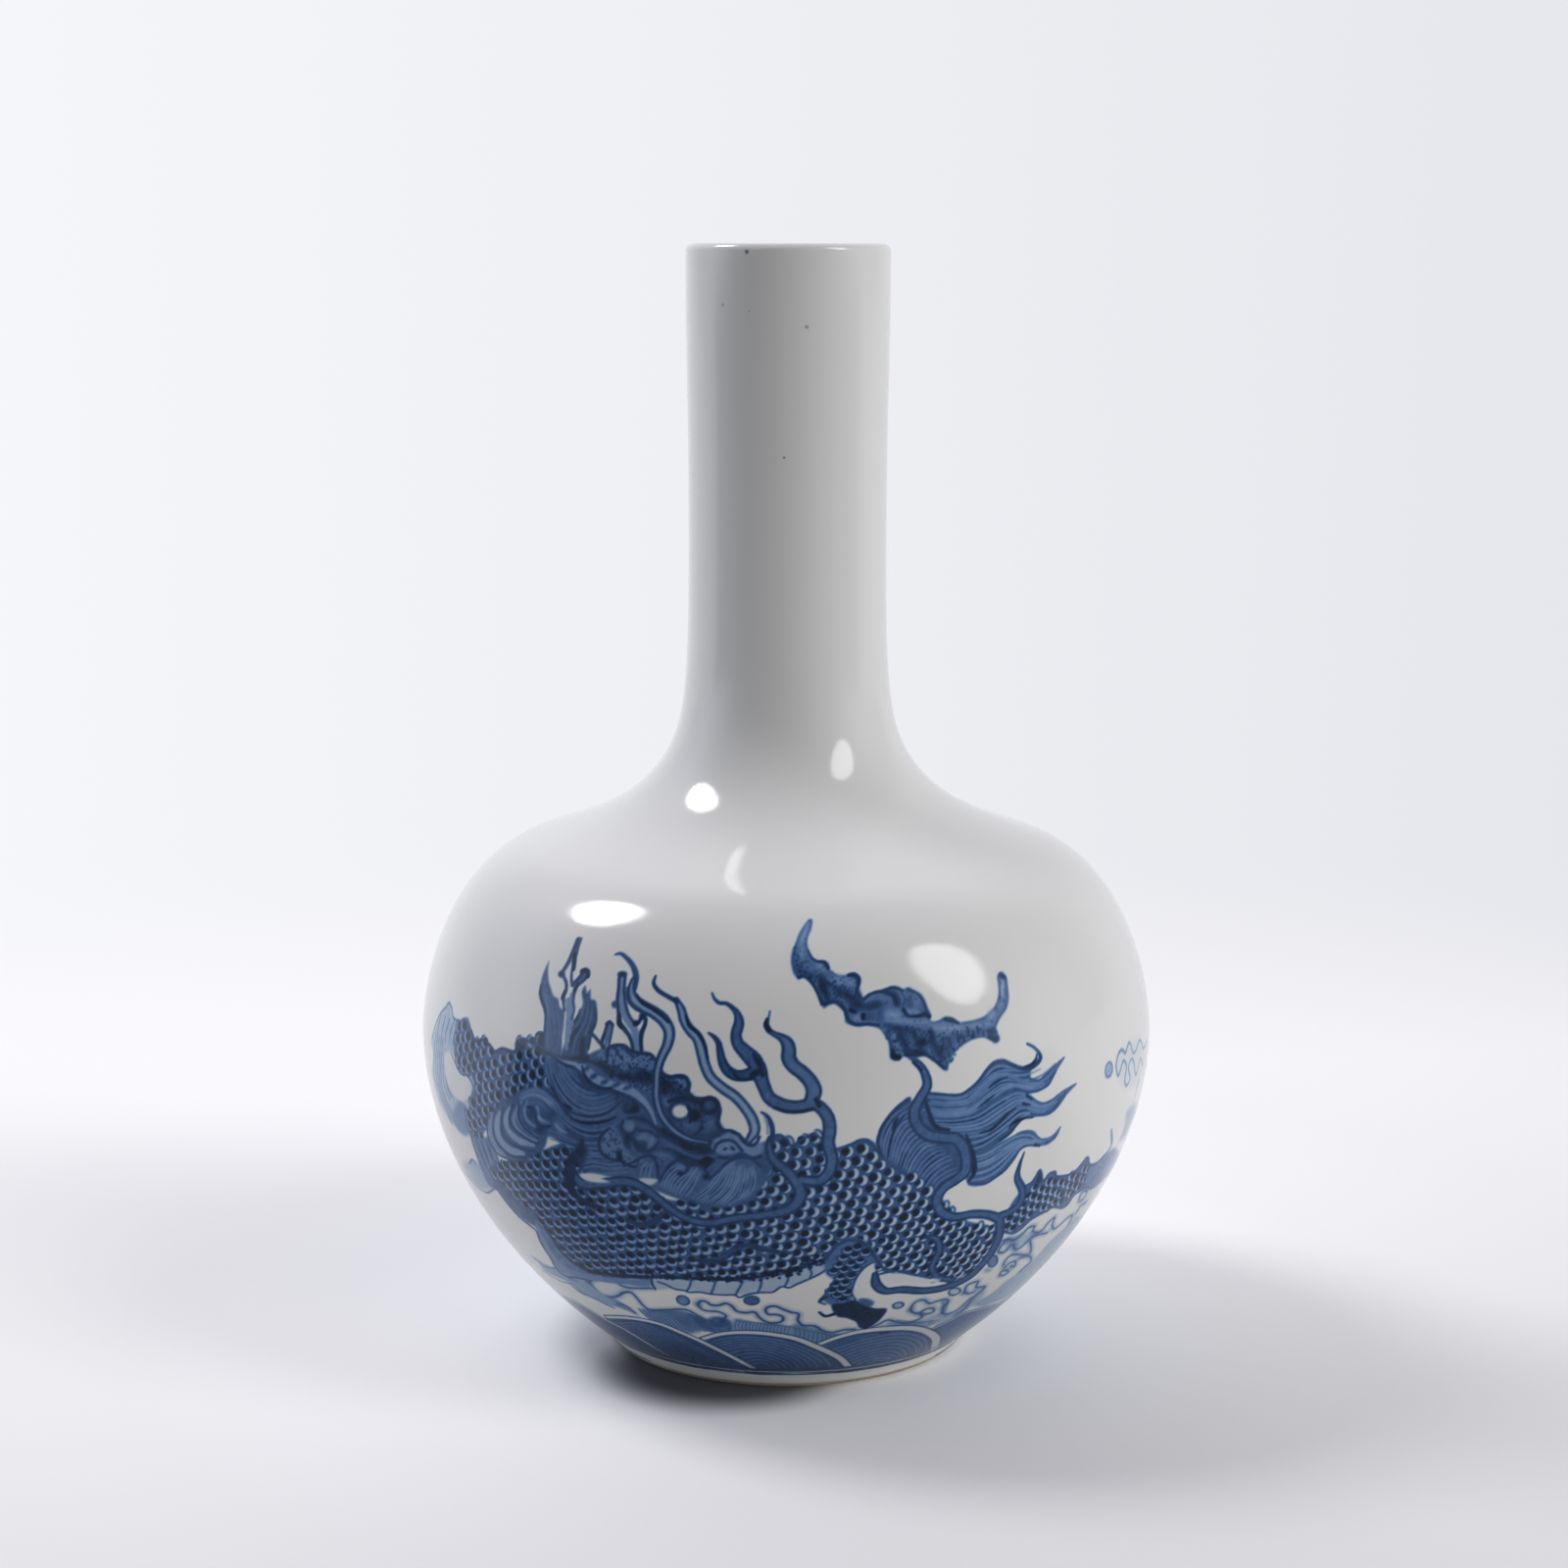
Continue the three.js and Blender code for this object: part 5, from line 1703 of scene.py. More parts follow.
        b.line([(745,1090),(755,1101),(768,1101)], (2, 3, 2.4), .86)
        b.line([(833,1122),(836,1128)], 4.4, .92)
        b.line([(790,1130),(802,1134),(815,1134.5),(830,1132)], (2.2, 3.2, 2.4), .93)
        b.line([(594,1164),(592,1174),(584,1184),(581,1198),(582,1212),(590,1222),(604,1230),(614,1232)],
            (4, 7, 11, 13, 11, 8, 6, 4), .84, wear=.15)
        b.line([(640,1245),(655,1250),(668,1246),(676,1238)], (4, 7, 7, 5), .72)
        b.area([(592,1199),(602,1198),(616,1203),(622,1206),(610,1207),(596,1204)], .04)
        b.line([(712,1286),(728,1287),(742,1281),(752,1273),(766,1271),(780,1275),(806,1279)],
            (5, 7, 7, 7, 7, 6, 3), .74)
        b.line([(720,1284),(736,1283),(750,1275),(765,1272)], (2, 3, 3, 2), .6)

    def tail_flames(self) -> None:
        """The flame ribbons round the tail."""
        b = self.brush
        b.braid([
            ([(930,1080),(937,1085),(944,1096),(946,1108),(939,1121),(933,1134),(936,1148),(947,1158),
                (962,1161),(975,1162),(983,1171),(986,1184),(985,1195),(975,1204),(963,1212),(956,1224),
                (960,1236),(973,1242),(992,1239),(1010,1240),(1020,1244)], (3, 6, 8.5, 9.5, 10.5, 11.5, 12,
                12, 11.5, 12, 12.5, 12.5, 12.5, 11.5, 11.5, 11.5, 11, 10.5, 10, 10, 10.5), .78, .48, 2.1,
                None),
            ([(1045,1176),(1040,1190),(1038,1202),(1043,1214),(1042,1226),(1032,1236),(1020,1241)],
                (1.6, 4.5, 7.5, 9, 10, 10.5, 11), .78, .5, 2.0, None),
            ([(1020,1244),(1020,1258),(1014,1274),(1004,1288),(990,1302),(970,1312),(945,1317),(920,1316),
                (902,1317),(894,1310),(893,1300)], (11, 11, 11.5, 11.5, 12, 11.5, 10.5, 10.5, 10, 10, 6), .8,
                .52, 2.1, None),
            ([(945,1262),(955,1264),(959,1274),(955,1284),(951,1294),(957,1303),(972,1306)],
                (5, 7.5, 8.5, 8.5, 8.5, 8.5, 7.5), .78, .5, 1.9, None),
        ])
        b.line([(932,1084),(940,1092)], 2.6, .88)
        b.area([(900,1303),(915,1299),(935,1302),(960,1306),(945,1310),(920,1309),(905,1310)], .03)
        b.line([(898,1300),(915,1297),(930,1300),(950,1304)], 3, .6)

    def whiskers(self) -> None:
        """The two long whiskers."""
        b = self.brush
        b.line([(628,974),(633,973),(640,978),(646,986),(649,996),(647,1008)], (2, 3, 4, 5, 6, 6), .64)
        b.braid([
            ([(646,1000),(644,1010),(647,1020),(656,1027),(667,1033),(677,1041),(683,1053),(681,1066),
                (675,1079),(671,1092),(670,1106),(670,1121),(675,1138),(686,1152),(702,1162),(722,1166)],
                (5, 8, 10.5, 11, 11, 11.5, 11, 10, 9, 8.5, 8.5, 8.5, 8.5, 8.5, 7.5, 5), .76, .34, 2.4, .2),
            ([(690,1020),(695,1030),(698,1041),(704,1051),(711.5,1059),(715.5,1072),(719,1086),(725,1099),
                (737,1110),(750,1119),(760,1130),(768,1143),(770,1154),(764,1164)],
                (5, 8, 9, 9.5, 10, 10, 10, 10, 10, 10, 10, 10.5, 10, 7), .74, .32, 2.1, .2),
        ])
        b.line([(650,1016),(655,1023),(665,1029),(675,1036),(682,1043)], (2.4, 3, 3, 2), .95)
        b.line([(640,1008),(641,1020),(647,1028),(655,1033)], (2, 2.8, 2.8, 2), .74)
        b.line([(669,996),(667,1003),(671,1010),(680,1016),(691,1022)], (2, 3.2, 3.6, 3.6, 4.5), .8)
        b.line([(700,1036),(703,1046),(712,1054),(719,1066),(722,1080)], (2, 2.8, 3.2, 2.8, 2), .93)
        b.line([(777,1135),(783,1139),(787,1147),(788.5,1156),(787,1164)], (1.8, 3.2, 4.2, 4.4, 5), .74)
        b.line([(780,1140),(783,1148),(783.5,1157)], (1.4, 1.8, 1.8), .34)


@dataclass
class Sky:
    """What flies and drifts above."""

    brush: Brush

    def paint(self) -> None:
        """Paints all of it, what lies under first."""
        self.clouds()
        self.bat()

    def clouds(self) -> None:
        """The thin clouds at the right edge."""
        b = self.brush
        b.area([(1139,1080),(1146,1070),(1154,1062),(1164,1060),(1170,1066),(1167,1090),(1160,1104),
            (1150,1110),(1141,1100)], .05, soft=1.6)
        b.area([(1133,1083),(1128,1092),(1129,1100),(1135,1096)], .2, soft=.8)
        b.ring((1131.5,1091.5), 7, 15, 2.2, .4, 8)
        b.line([(1148,1074),(1145,1071),(1142,1074),(1140,1080),(1139,1087),(1139.5,1093),(1141,1098),
            (1143,1093),(1144.5,1088),(1146.5,1082),(1149.5,1087),(1149,1093),(1148,1100),(1148,1106),
            (1149.5,1108),(1152,1104),(1153,1099),(1151.5,1091),(1152.5,1085),(1155,1080),(1157.5,1086),
            (1158,1093),(1159,1097),(1160.5,1093),(1162,1086),(1164,1080),(1166,1087)], (2.6, 2.4, 2.2, 2.0),
            .36, soft=.6)
        b.line([(1142,1074),(1145,1071),(1148,1075),(1150,1070),(1152,1064),(1153.5,1065),(1155,1071),
            (1156.5,1075),(1159,1072),(1161,1066),(1163,1061),(1165,1064),(1166.5,1070),(1169,1066),
            (1170.5,1060)], (2.8, 2.4, 2.2, 1.8), .34, soft=.6)
        b.line([(1162,1103),(1160,1110),(1158.5,1119)], (5, 4, 2.4), .2, soft=.8)

    def bat(self) -> None:
        """The bat above the tail."""
        b = self.brush
        edge = [(827,939),(822,945),(817,953),(814,961),(811,969),(809,977),(809,984),(811,991),(815,998),
            (815,998),(820,996),(826,1000),(831,1006),(835,1014),(838,1021),(841,1027),(841,1027),(846,1024),
            (852,1023),(858,1027),(863,1032),(865,1037),(864,1042),(868,1044),(876,1046),(884,1045),
            (892,1046),(899,1049),(904,1056),(908,1063),(909,1071),(910,1079),(915,1081),(919,1078),
            (924,1076),(930,1080),(938,1077),(945,1076),(952,1080),(958,1085),(963,1090),(966,1091),
            (966,1091),(967,1085),(970,1078),(976,1070),(985,1063),(993,1059),(1003,1057),(1011,1060),
            (1016,1063),(1019,1060),(1017,1055),(1015,1050),(1016,1045),(1020,1037),(1026,1028),(1028,1018),
            (1027,1006),(1026,998),(1022,993),(1019,996),(1020,1006),(1020,1016),(1017,1026),(1012,1033),
            (1004,1039),(996,1042),(985,1044),(978,1045),(971,1040),(965,1039),(960,1042),(954,1044),
            (949,1043),(947,1038),(948,1035),(945,1028),(942,1020),(938,1015),(931,1011),(927,1009),
            (922,1011),(915,1008),(909,1008),(903,1011),(895,1013),(887,1016),(881,1021),(878,1015),
            (875,1006),(877,1000),(875,996),(870,994),(866,996),(860,997),(854,996),(848,992),(844,989),
            (844,984),(840,982),(832,981),(828,978),(824,970),(822,963),(823,955),(826,948)]
        b.area(edge, .46, soft=.9)
        b.line(edge, 1.9, .6, soft=.7, closed=True)
        b.washes([
            ((821,953), 5, 26, .22, 19, .8), ((818,971), 6, 15, .3, 8, 1.0), ((838,986), 12, 7, .3, 15, .9),
                ((861,1002), 23, 11, .3, 12, 1.2), ((850,1017), 16, 5, .46, 10, .9),
            ((876,1039), 12, 6, .28, 0, .8), ((898,1018), 24, 4, .4, -8, .7),
                ((911,1035), 18, 9, .26, 10, 1.1), ((923,1016), 5, 12, .38, 25, .7),
                ((931,1032), 17, 5, .28, 5, .8),
            ((936,1020), 9, 11, .36, 25, .9), ((927,1042), 46, 6, .28, 3, .9),
                ((968,1049), 36, 9, .24, 0, 1.3), ((1000,1046), 27, 5, .27, -6, .9),
                ((1012,1036), 8, 12, .27, 30, .9),
            ((1023,1009), 3.6, 20, .18, 0, .5), ((1021,1026), 5, 10, .32, 18, .8),
                ((914,1058), 6, 20, .34, 0, .8), ((928,1061), 5, 20, .46, -28, .8),
                ((944,1052), 5, 10, .42, -10, .8),
        ])
        b.washes([
            ((815,990), 8, 10, .7, 0, .9), ((811,976), 3, 15, .6, 0, .9), ((827,995), 13, 6, .72, 20, .9),
                ((840,1006), 8, 22, .88, -14, 1.0), ((845,1019), 9, 4, .66, 0, .9),
                ((864,1015), 34, 6, .82, 28, .9),
            ((874,1025), 13, 10, .82, 10, 1.0), ((889,1026), 20, 6, .78, -15, .8),
                ((888,1036), 8, 9, .62, 0, .9), ((898,1033), 5, 14, .58, 0, .9),
                ((908,1013), 12, 5, .66, 0, .7), ((915,1021), 5, 12, .84, -15, .7),
            ((928,1023), 5, 10, .62, -15, .9), ((916,1049), 28, 5, .76, 12, .8),
                ((921,1060), 6, 24, .84, -24, .9), ((934,1060), 5, 20, .74, -28, .9),
                ((941,1063), 10, 9, .92, 0, .9), ((951,1057), 5, 15, .84, -10, .7),
            ((934,1073), 24, 5, .82, 6, .7), ((957,1072), 8, 24, .76, -34, 1.0),
                ((967,1068), 9, 20, .6, 18, 1.1), ((984,1058), 22, 4, .5, -15, 1.0),
                ((1013,1053), 7, 7, .72, 0, .8), ((1000,1054), 14, 4, .5, 0, .9),
        ])
        b.stipple(edge, 240, 1.5, .3)
        b.stipple([(905,1050),(930,1048),(960,1054),(1000,1050),(1012,1054),(985,1062),(966,1088),(940,1076),
            (912,1076)], 170, 2.0, .46)
        b.stipple([(811,962),(818,980),(840,994),(872,1006),(872,1026),(845,1020),(830,1003),(812,992)], 130,
            1.9, .46)
        for x, y, reach in ((987,1049,5), (997,1048,6), (1003,1052,5), (977,1055,7), (969,1060,8),
                (962,1059,9), (993,1053,4), (983,1058,5), (1008,1051,6)):
            b.line([(x, y), (x + 1, y + reach)], (2.3, 1.4), .74)
        b.lines([
            ([(824,970),(829,978),(834,981)], (1.6, 2.4, 2), .7), ([(815,997),(820,996),(828,1002),(835,1014),
                (839,1024)], (3, 2.2, 2.6, 2.6, 3.6), .82), ([(842,1024),(852,1022),(862,1030),(865,1040),
                (872,1045),(886,1045),(897,1046)], (3.6, 2.6, 3.6, 3, 2.8, 2.6, 2), .8),
            ([(834,981),(841,982),(845,988)], (2, 3.6, 3.4), .8), ([(866,995),(872,995),(876,999),(876,1005),
                (874,1012),(878,1018)], (3, 4.4, 4.2, 2.6, 2.6, 2), .84),
            ([(881,1020),(887,1015),(896,1012),(906,1013),(912,1017),(914,1025)],
                (2.6, 2.2, 2.4, 2.6, 3.4, 2.6), .8), ([(900,1012),(907,1009),(914,1008),(921,1011)],
                (3.4, 2.8, 2.4, 2), .76), ([(920,1012),(923,1018),(922,1026)], (1.8, 1.8, 1.8), .6),
                ([(927,1010),(936,1014),(942,1022),(945,1032)], (2.4, 2, 2.4, 2.6), .68),
            ([(922,1030),(926,1036),(936,1037),(944,1035),(948,1037)], (3.4, 2.6, 2.6, 4.6, 4.4), .86),
                ([(881,1036),(881,1039)], (4.6, 4), .93), ([(868,1031),(872,1032)], (4.2, 4.2), .97),
                ([(886,1030),(893,1028),(899,1025)], (2, 3, 2), .74),
            ([(904,1054),(909,1064),(910,1074)], (1.8, 2.2, 2.6), .66), ([(911,1072),(912,1078),(917,1079)],
                (3, 5.2, 4.8), .98), ([(925,1076),(934,1076),(944,1076),(955,1083),(964,1090)],
                (4, 4, 3, 2.6, 3), .82), ([(1010,1058),(1016,1060)], (4.6, 5.6), .76),
                ([(964,1040),(971,1041),(978,1044)], (2.6, 4.4, 2.4), .74), ([(1021,995),(1025,997)],
                (4.4, 3.8), .76),
        ])


@dataclass
class Painting:
    """The whole painting: the front as photographed, and mirrored over the side that isn't seen.

    The fold stands a little inside the angle up to which a row is seen, since the last of it is squeezed.
    """

    surface: Surface
    fold_inside: float = 0.97
    slope_step: float = 0.5
    least_rise: float = 0.05
    widest_share: float = 0.9
    sheet: Sheet = field(init=False)

    def __post_init__(self) -> None:
        """Paints the sheet."""
        self.sheet = Sheet(self.surface)
        brush = Brush(self.sheet)
        for motif in (Sea(brush), Beast(brush), Sky(brush)):
            motif.paint()

    def ink_at(self, turns: np.ndarray, ways: np.ndarray) -> np.ndarray:
        """The paint at a grid of places.

        What the photograph shows of each row is drawn out over the row's far side too, mirrored.

        Args:
            turns: Angles round the axis, 0 at the front.
            ways: Distances along the section.

        Returns:
            The paint's density, a row for each distance.
        """
        angles = ((turns + np.pi) % (2 * np.pi) - np.pi)[None, :]
        limit = self.limits(ways)[:, None]
        folded = limit * (np.pi - np.abs(angles)) / (np.pi - limit)
        angles = np.where(np.abs(angles) > limit, np.sign(angles) * folded, angles)
        a = np.clip((angles - self.sheet.turns[0]) / self.sheet.turn_pitch, 0, len(self.sheet.turns) - 2)
        b = np.clip(ways / self.sheet.pitch, 0, len(self.sheet.ways) - 2)[:, None]
        ia, ib = a.astype(int), b.astype(int)
        fa, fb = a - ia, np.minimum(b - ib, 1)
        ink = self.sheet.ink
        low = ink[ib, ia] * (1 - fa) + ink[ib, ia + 1] * fa
        high = ink[ib + 1, ia] * (1 - fa) + ink[ib + 1, ia + 1] * fa
        return np.where(ways[:, None] < self.sheet.ways[-2], low * (1 - fb) + high * fb, 0.0)

    def limits(self, ways: np.ndarray) -> np.ndarray:
        """The angle up to which the photograph shows each row.

        Args:
            ways: Distances along the section.

        Returns:
            The angles, at most a quarter turn.
        """
        section, view = self.surface.meridian, self.surface.view
        low, high = ways - self.slope_step, ways + self.slope_step
        rise = section.height_at(high) - section.height_at(low)
        spread = section.radius_at(high) - section.radius_at(low)
        radius, drop = section.radius_at(ways), view.height - section.height_at(ways)
        share = (rise * radius + spread * drop) / (np.maximum(rise, self.least_rise) * view.distance)
        return self.fold_inside * np.arccos(np.clip(share, 0.0, self.widest_share))


def placed(name: str, data: bpy.types.ID) -> bpy.types.Object:
    """Puts a mesh, a light or a lens into the scene.

    Args:
        name: The object's name.
        data: What the object is made of.

    Returns:
        The object.
    """
    made = bpy.data.objects.new(name, data)
    bpy.context.scene.collection.objects.link(made)
    return made


@dataclass
class Lathe:
    """Turns a closed section round the vase's axis into a mesh."""

    name: str
    section: np.ndarray
    turns: np.ndarray

    def build(self) -> bpy.types.Object:
        """Makes the object.

        Returns:
            The object, in metres, with its faces in rows along the section.
        """
        rows, cols = len(self.section), len(self.turns)
        radius, height = self.section[:, 0] * MM, self.section[:, 1] * MM
        points = np.empty((rows, cols, 3), np.float32)
        points[..., 0] = radius[:, None] * np.sin(self.turns)
        points[..., 1] = -radius[:, None] * np.cos(self.turns)
        points[..., 2] = height[:, None]
        row, col = np.arange(rows)[:, None] * cols, np.arange(cols)
        row_over, col_past = (np.arange(rows) + 1)[:, None] % rows * cols, (col + 1) % cols
        faces = [row + col, row + col_past, row_over + col_past, row_over + col]
        corners = np.stack([face.ravel() for face in faces], 1).astype(np.int32)
        mesh = bpy.data.meshes.new(self.name)
        mesh.vertices.add(rows * cols)
        mesh.vertices.foreach_set("co", points.ravel())
        mesh.loops.add(corners.size)
        mesh.loops.foreach_set("vertex_index", corners.ravel())
        mesh.polygons.add(len(corners))
        mesh.polygons.foreach_set("loop_start", np.arange(0, corners.size, 4, dtype=np.int32))
        mesh.polygons.foreach_set("loop_total", np.full(len(corners), 4, np.int32))
        mesh.update(calc_edges=True)
        mesh.shade_smooth()
        return placed(self.name, mesh)


class Nodes:
    """The node tree of a material or of the world under construction."""

    def __init__(self, name: str, owner: Optional[bpy.types.ID] = None) -> None:
        """Starts an empty tree.

        Args:
            name: The name of the material that is made when no owner is given.
            owner: The world or material that the tree belongs to.
        """
        self.material = owner or bpy.data.materials.new(name)
        self.material.use_nodes = True
        self.tree = self.material.node_tree
        self.tree.nodes.clear()

    def add(self, kind: str, settings: Optional[dict] = None, **inputs: object) -> bpy.types.Node:
        """Adds a node.

        Args:
            kind: The node's type.
            settings: Properties of the node.
            inputs: Values or sockets for its inputs, spaces in their names written as underscores. A name
                such as i0 stands for the input at that place.

        Returns:
            The node.
        """
        node = self.tree.nodes.new(kind)
        for key, value in (settings or {}).items():
            setattr(node, key, value)
        for key, value in inputs.items():
            place = int(key[1:]) if key[0] == "i" and key[1:].isdigit() else key.replace("_", " ")
            if isinstance(value, bpy.types.NodeSocket):
                self.tree.links.new(value, node.inputs[place])
            else:
                node.inputs[place].default_value = value
        return node

    def where(self) -> bpy.types.NodeSocket:
        """The place on the object, in metres."""
        return self.add("ShaderNodeTexCoord").outputs["Object"]

    def part(self, vector: bpy.types.NodeSocket, which: int) -> bpy.types.NodeSocket:
        """One part of a vector: 0 for x, 1 for y or 2 for z."""
        return self.add("ShaderNodeSeparateXYZ", None, Vector=vector).outputs[which]

    def maths(self, how: str, *values: object) -> bpy.types.NodeSocket:
        """The result of a sum.

        Args:
            how: The operation.
            values: Numbers or sockets.

        Returns:
            The result's socket.
        """
        given = {f"i{k}": value for k, value in enumerate(values)}
        return self.add("ShaderNodeMath", {"operation": how}, **given).outputs[0]

    def vector(self, how: str, *values: object, result: str = "Vector") -> bpy.types.NodeSocket:
        """The result of a sum of vectors.

        Args:
            how: The operation.
            values: Vectors or sockets.
            result: Name of the output that is taken, Vector or Value.

        Returns:
            The result's socket.
        """
        given = {f"i{k}": value for k, value in enumerate(values)}
        return self.add("ShaderNodeVectorMath", {"operation": how}, **given).outputs[result]

    def span(
        self,
        value: object,
        low: float,
        high: float,
        start: object = 0.0,
        end: object = 1.0,
        eased: bool = False,
    ) -> bpy.types.NodeSocket:
        """A value carried from one range over to another.

        Args:
            value: The value's socket.
            low: Where its range starts.
            high: Where its range ends.
            start: What the range's start turns into.
            end: What the range's end turns into.
            eased: Whether the change is slow at both ends.

        Returns:
            The result's socket.
        """
        how = {"interpolation_type": "SMOOTHSTEP" if eased else "LINEAR"}
        ends = {"From_Min": low, "From_Max": high, "To_Min": start, "To_Max": end}
        return self.add("ShaderNodeMapRange", how, Value=value, **ends).outputs[0]

    def mix(self, share: object, first: object, second: object) -> bpy.types.NodeSocket:
        """A mix of two colours.

        Args:
            share: How much of the second colour is taken.
            first: The first colour.
            second: The second colour.

        Returns:
            The mixed colour's socket.
        """
        node = self.add("ShaderNodeMix", {"data_type": "RGBA"}, i0=share, i6=first, i7=second)
        return node.outputs[2]

    def noise(self, where: bpy.types.NodeSocket, scale: float, detail: float) -> bpy.types.NodeSocket:
        """A smooth noise from 0 to 1.

        Args:
            where: The coordinates.
            scale: Waves in a metre.
            detail: Finer layers.

        Returns:
            The noise's socket.
        """
        return self.add("ShaderNodeTexNoise", None, Vector=where, Scale=scale, Detail=detail).outputs[0]

    def bump(
        self, height: bpy.types.NodeSocket, strength: float, depth: float, **under: bpy.types.NodeSocket
    ) -> bpy.types.NodeSocket:
        """A fine relief.

        Args:
            height: The relief's height from 0 to 1.
            strength: Its strength.
            depth: Its depth in metres.
            under: The normal that it is added to, as Normal, if there is one.

        Returns:
            The normal's socket.
        """
        node = self.add("ShaderNodeBump", None, Strength=strength, Distance=depth, Height=height, **under)
        return node.outputs[0]

    def surface(self, colour: object, roughness: float, **more: object) -> bpy.types.NodeSocket:
        """A surface's shader.

        Args:
            colour: Its colour.
            roughness: Its roughness.
            more: Its index of refraction as IOR and its normal as Normal, where they are set.

        Returns:
            The shader's socket.
        """
        node = self.add("ShaderNodeBsdfPrincipled", None, Base_Color=colour, Roughness=roughness, **more)
        return node.outputs[0]

    def ramp(self, value: object, stops: Sequence[tuple]) -> bpy.types.NodeSocket:
        """A colour looked up by a value.

        Args:
            value: The socket that is looked up.
            stops: Rows of a place and a colour.

        Returns:
            The colour's socket.
        """
        node = self.add("ShaderNodeValToRGB", None, Fac=value)
        band = node.color_ramp.elements
        while len(band) < len(stops):
            band.new(0.5)
        for element, (place, colour) in zip(band, stops):
            element.position = place
            element.color = (*colour, 1.0)
        return node.outputs[0]

    def finish(self, shader: bpy.types.NodeSocket) -> bpy.types.Material:
        """Joins the shader to the output.

        Args:
            shader: The surface shader's socket.

        Returns:
            The finished material.
        """
        self.add("ShaderNodeOutputMaterial", None, Surface=shader)
        return self.material


@dataclass(frozen=True)
class PaintedGlaze:
    """Clear glaze over cobalt painting on white porcelain.

    The depths are densities of the cobalt, each with the share of the white that it lets through. A noise is
    its waves in a metre and its finer layers, and a bump is its strength and its depth in metres. The sown
    specks have cells in a metre, a size in cells and the value that a cell's own chance has to pass.
    """

    name: str = "painted_glaze"
    white: tuple = (0.595, 0.597, 0.593)
    depths: tuple = (
        (0.0, (1.0, 1.0, 1.0)),
        (0.12, (0.6, 0.71, 0.84)),
        (0.2, (0.36, 0.52, 0.76)),
        (0.3, (0.205, 0.35, 0.63)),
        (0.4, (0.12, 0.24, 0.51)),
        (0.5, (0.07, 0.16, 0.385)),
        (0.6, (0.04, 0.108, 0.285)),
        (0.7, (0.025, 0.072, 0.2)),
        (0.85, (0.012, 0.036, 0.108)),
        (1.0, (0.01, 0.016, 0.034)),
    )
    cloud: tuple = (420.0, 4.0)
    cloud_span: float = 0.34
    cloud_least: float = 0.83
    drift: tuple = (14.0, 3.0)
    drift_share: float = 0.06
    drift_tint: tuple = (0.56, 0.65, 0.68, 1.0)
    specks: tuple = (
        (-0.0118, -0.0277, 0.3275),
        (0.0052, -0.0291, 0.3065),
        (-0.0183, -0.0231, 0.3125),
        (-0.0148, -0.0272, 0.191),
    )
    speck_edge: tuple = (0.0003, 0.0009)
    speck_share: float = 0.75
    speck_brown: tuple = (0.05, 0.035, 0.028, 1.0)
    sown_cells: float = 95.0
    sown_size: float = 0.035
    sown_pass: float = 0.86
    ripple: tuple = (55.0, 2.0)
    ripple_bump: tuple = (0.12, 0.0006)
    pits: tuple = (900.0, 1.0)
    pits_bump: tuple = (0.05, 0.0002)
    roughness: float = 0.11
    refraction: float = 1.5

    def make(self) -> bpy.types.Material:
        """Makes the material.

        Returns:
            The material.
        """
        n = Nodes(self.name)
        where = n.where()
        ink = n.add("ShaderNodeAttribute", {"attribute_name": INK_NAME}).outputs["Fac"]
        shade = n.maths("MULTIPLY_ADD", n.noise(where, *self.cloud), self.cloud_span, self.cloud_least)
        stops = []
        for place, shares in self.depths:
            stops.append((place, tuple(pale * share for pale, share in zip(self.white, shares))))
        colour = n.ramp(n.maths("MULTIPLY", ink, shade), stops)
        drift = n.maths("MULTIPLY", n.noise(where, *self.drift), self.drift_share)
        colour = n.mix(drift, colour, n.mix(0.5, colour, self.drift_tint))
        speck = n.maths("MULTIPLY", self.speckle(n, where), self.speck_share)
        colour = n.mix(speck, colour, self.speck_brown)
        ripple = n.bump(n.noise(where, *self.ripple), *self.ripple_bump)
        pits = n.bump(n.noise(where, *self.pits), *self.pits_bump, Normal=ripple)
        return n.finish(n.surface(colour, self.roughness, IOR=self.refraction, Normal=pits))

    def speckle(self, n: Nodes, where: bpy.types.NodeSocket) -> bpy.types.NodeSocket:
        """The iron specks: those that the photograph shows, and smaller ones that are sown.

        Args:
            n: The tree that they are made in.
            where: The place on the glaze.

        Returns:
            A socket that is 1 on a speck and 0 beside it.
        """
        cells = n.add("ShaderNodeTexVoronoi", None, Vector=where, Scale=self.sown_cells)
        small = n.maths("LESS_THAN", cells.outputs["Distance"], self.sown_size)
        own = n.add("ShaderNodeSeparateColor", None, Color=cells.outputs["Color"]).outputs[0]
        speck = n.maths("MULTIPLY", small, n.maths("GREATER_THAN", own, self.sown_pass))
        for spot in self.specks:
            away = n.vector("DISTANCE", where, spot, result="Value")
            speck = n.maths("MAXIMUM", speck, n.span(away, *self.speck_edge, 1.0, 0.0))
        return speck


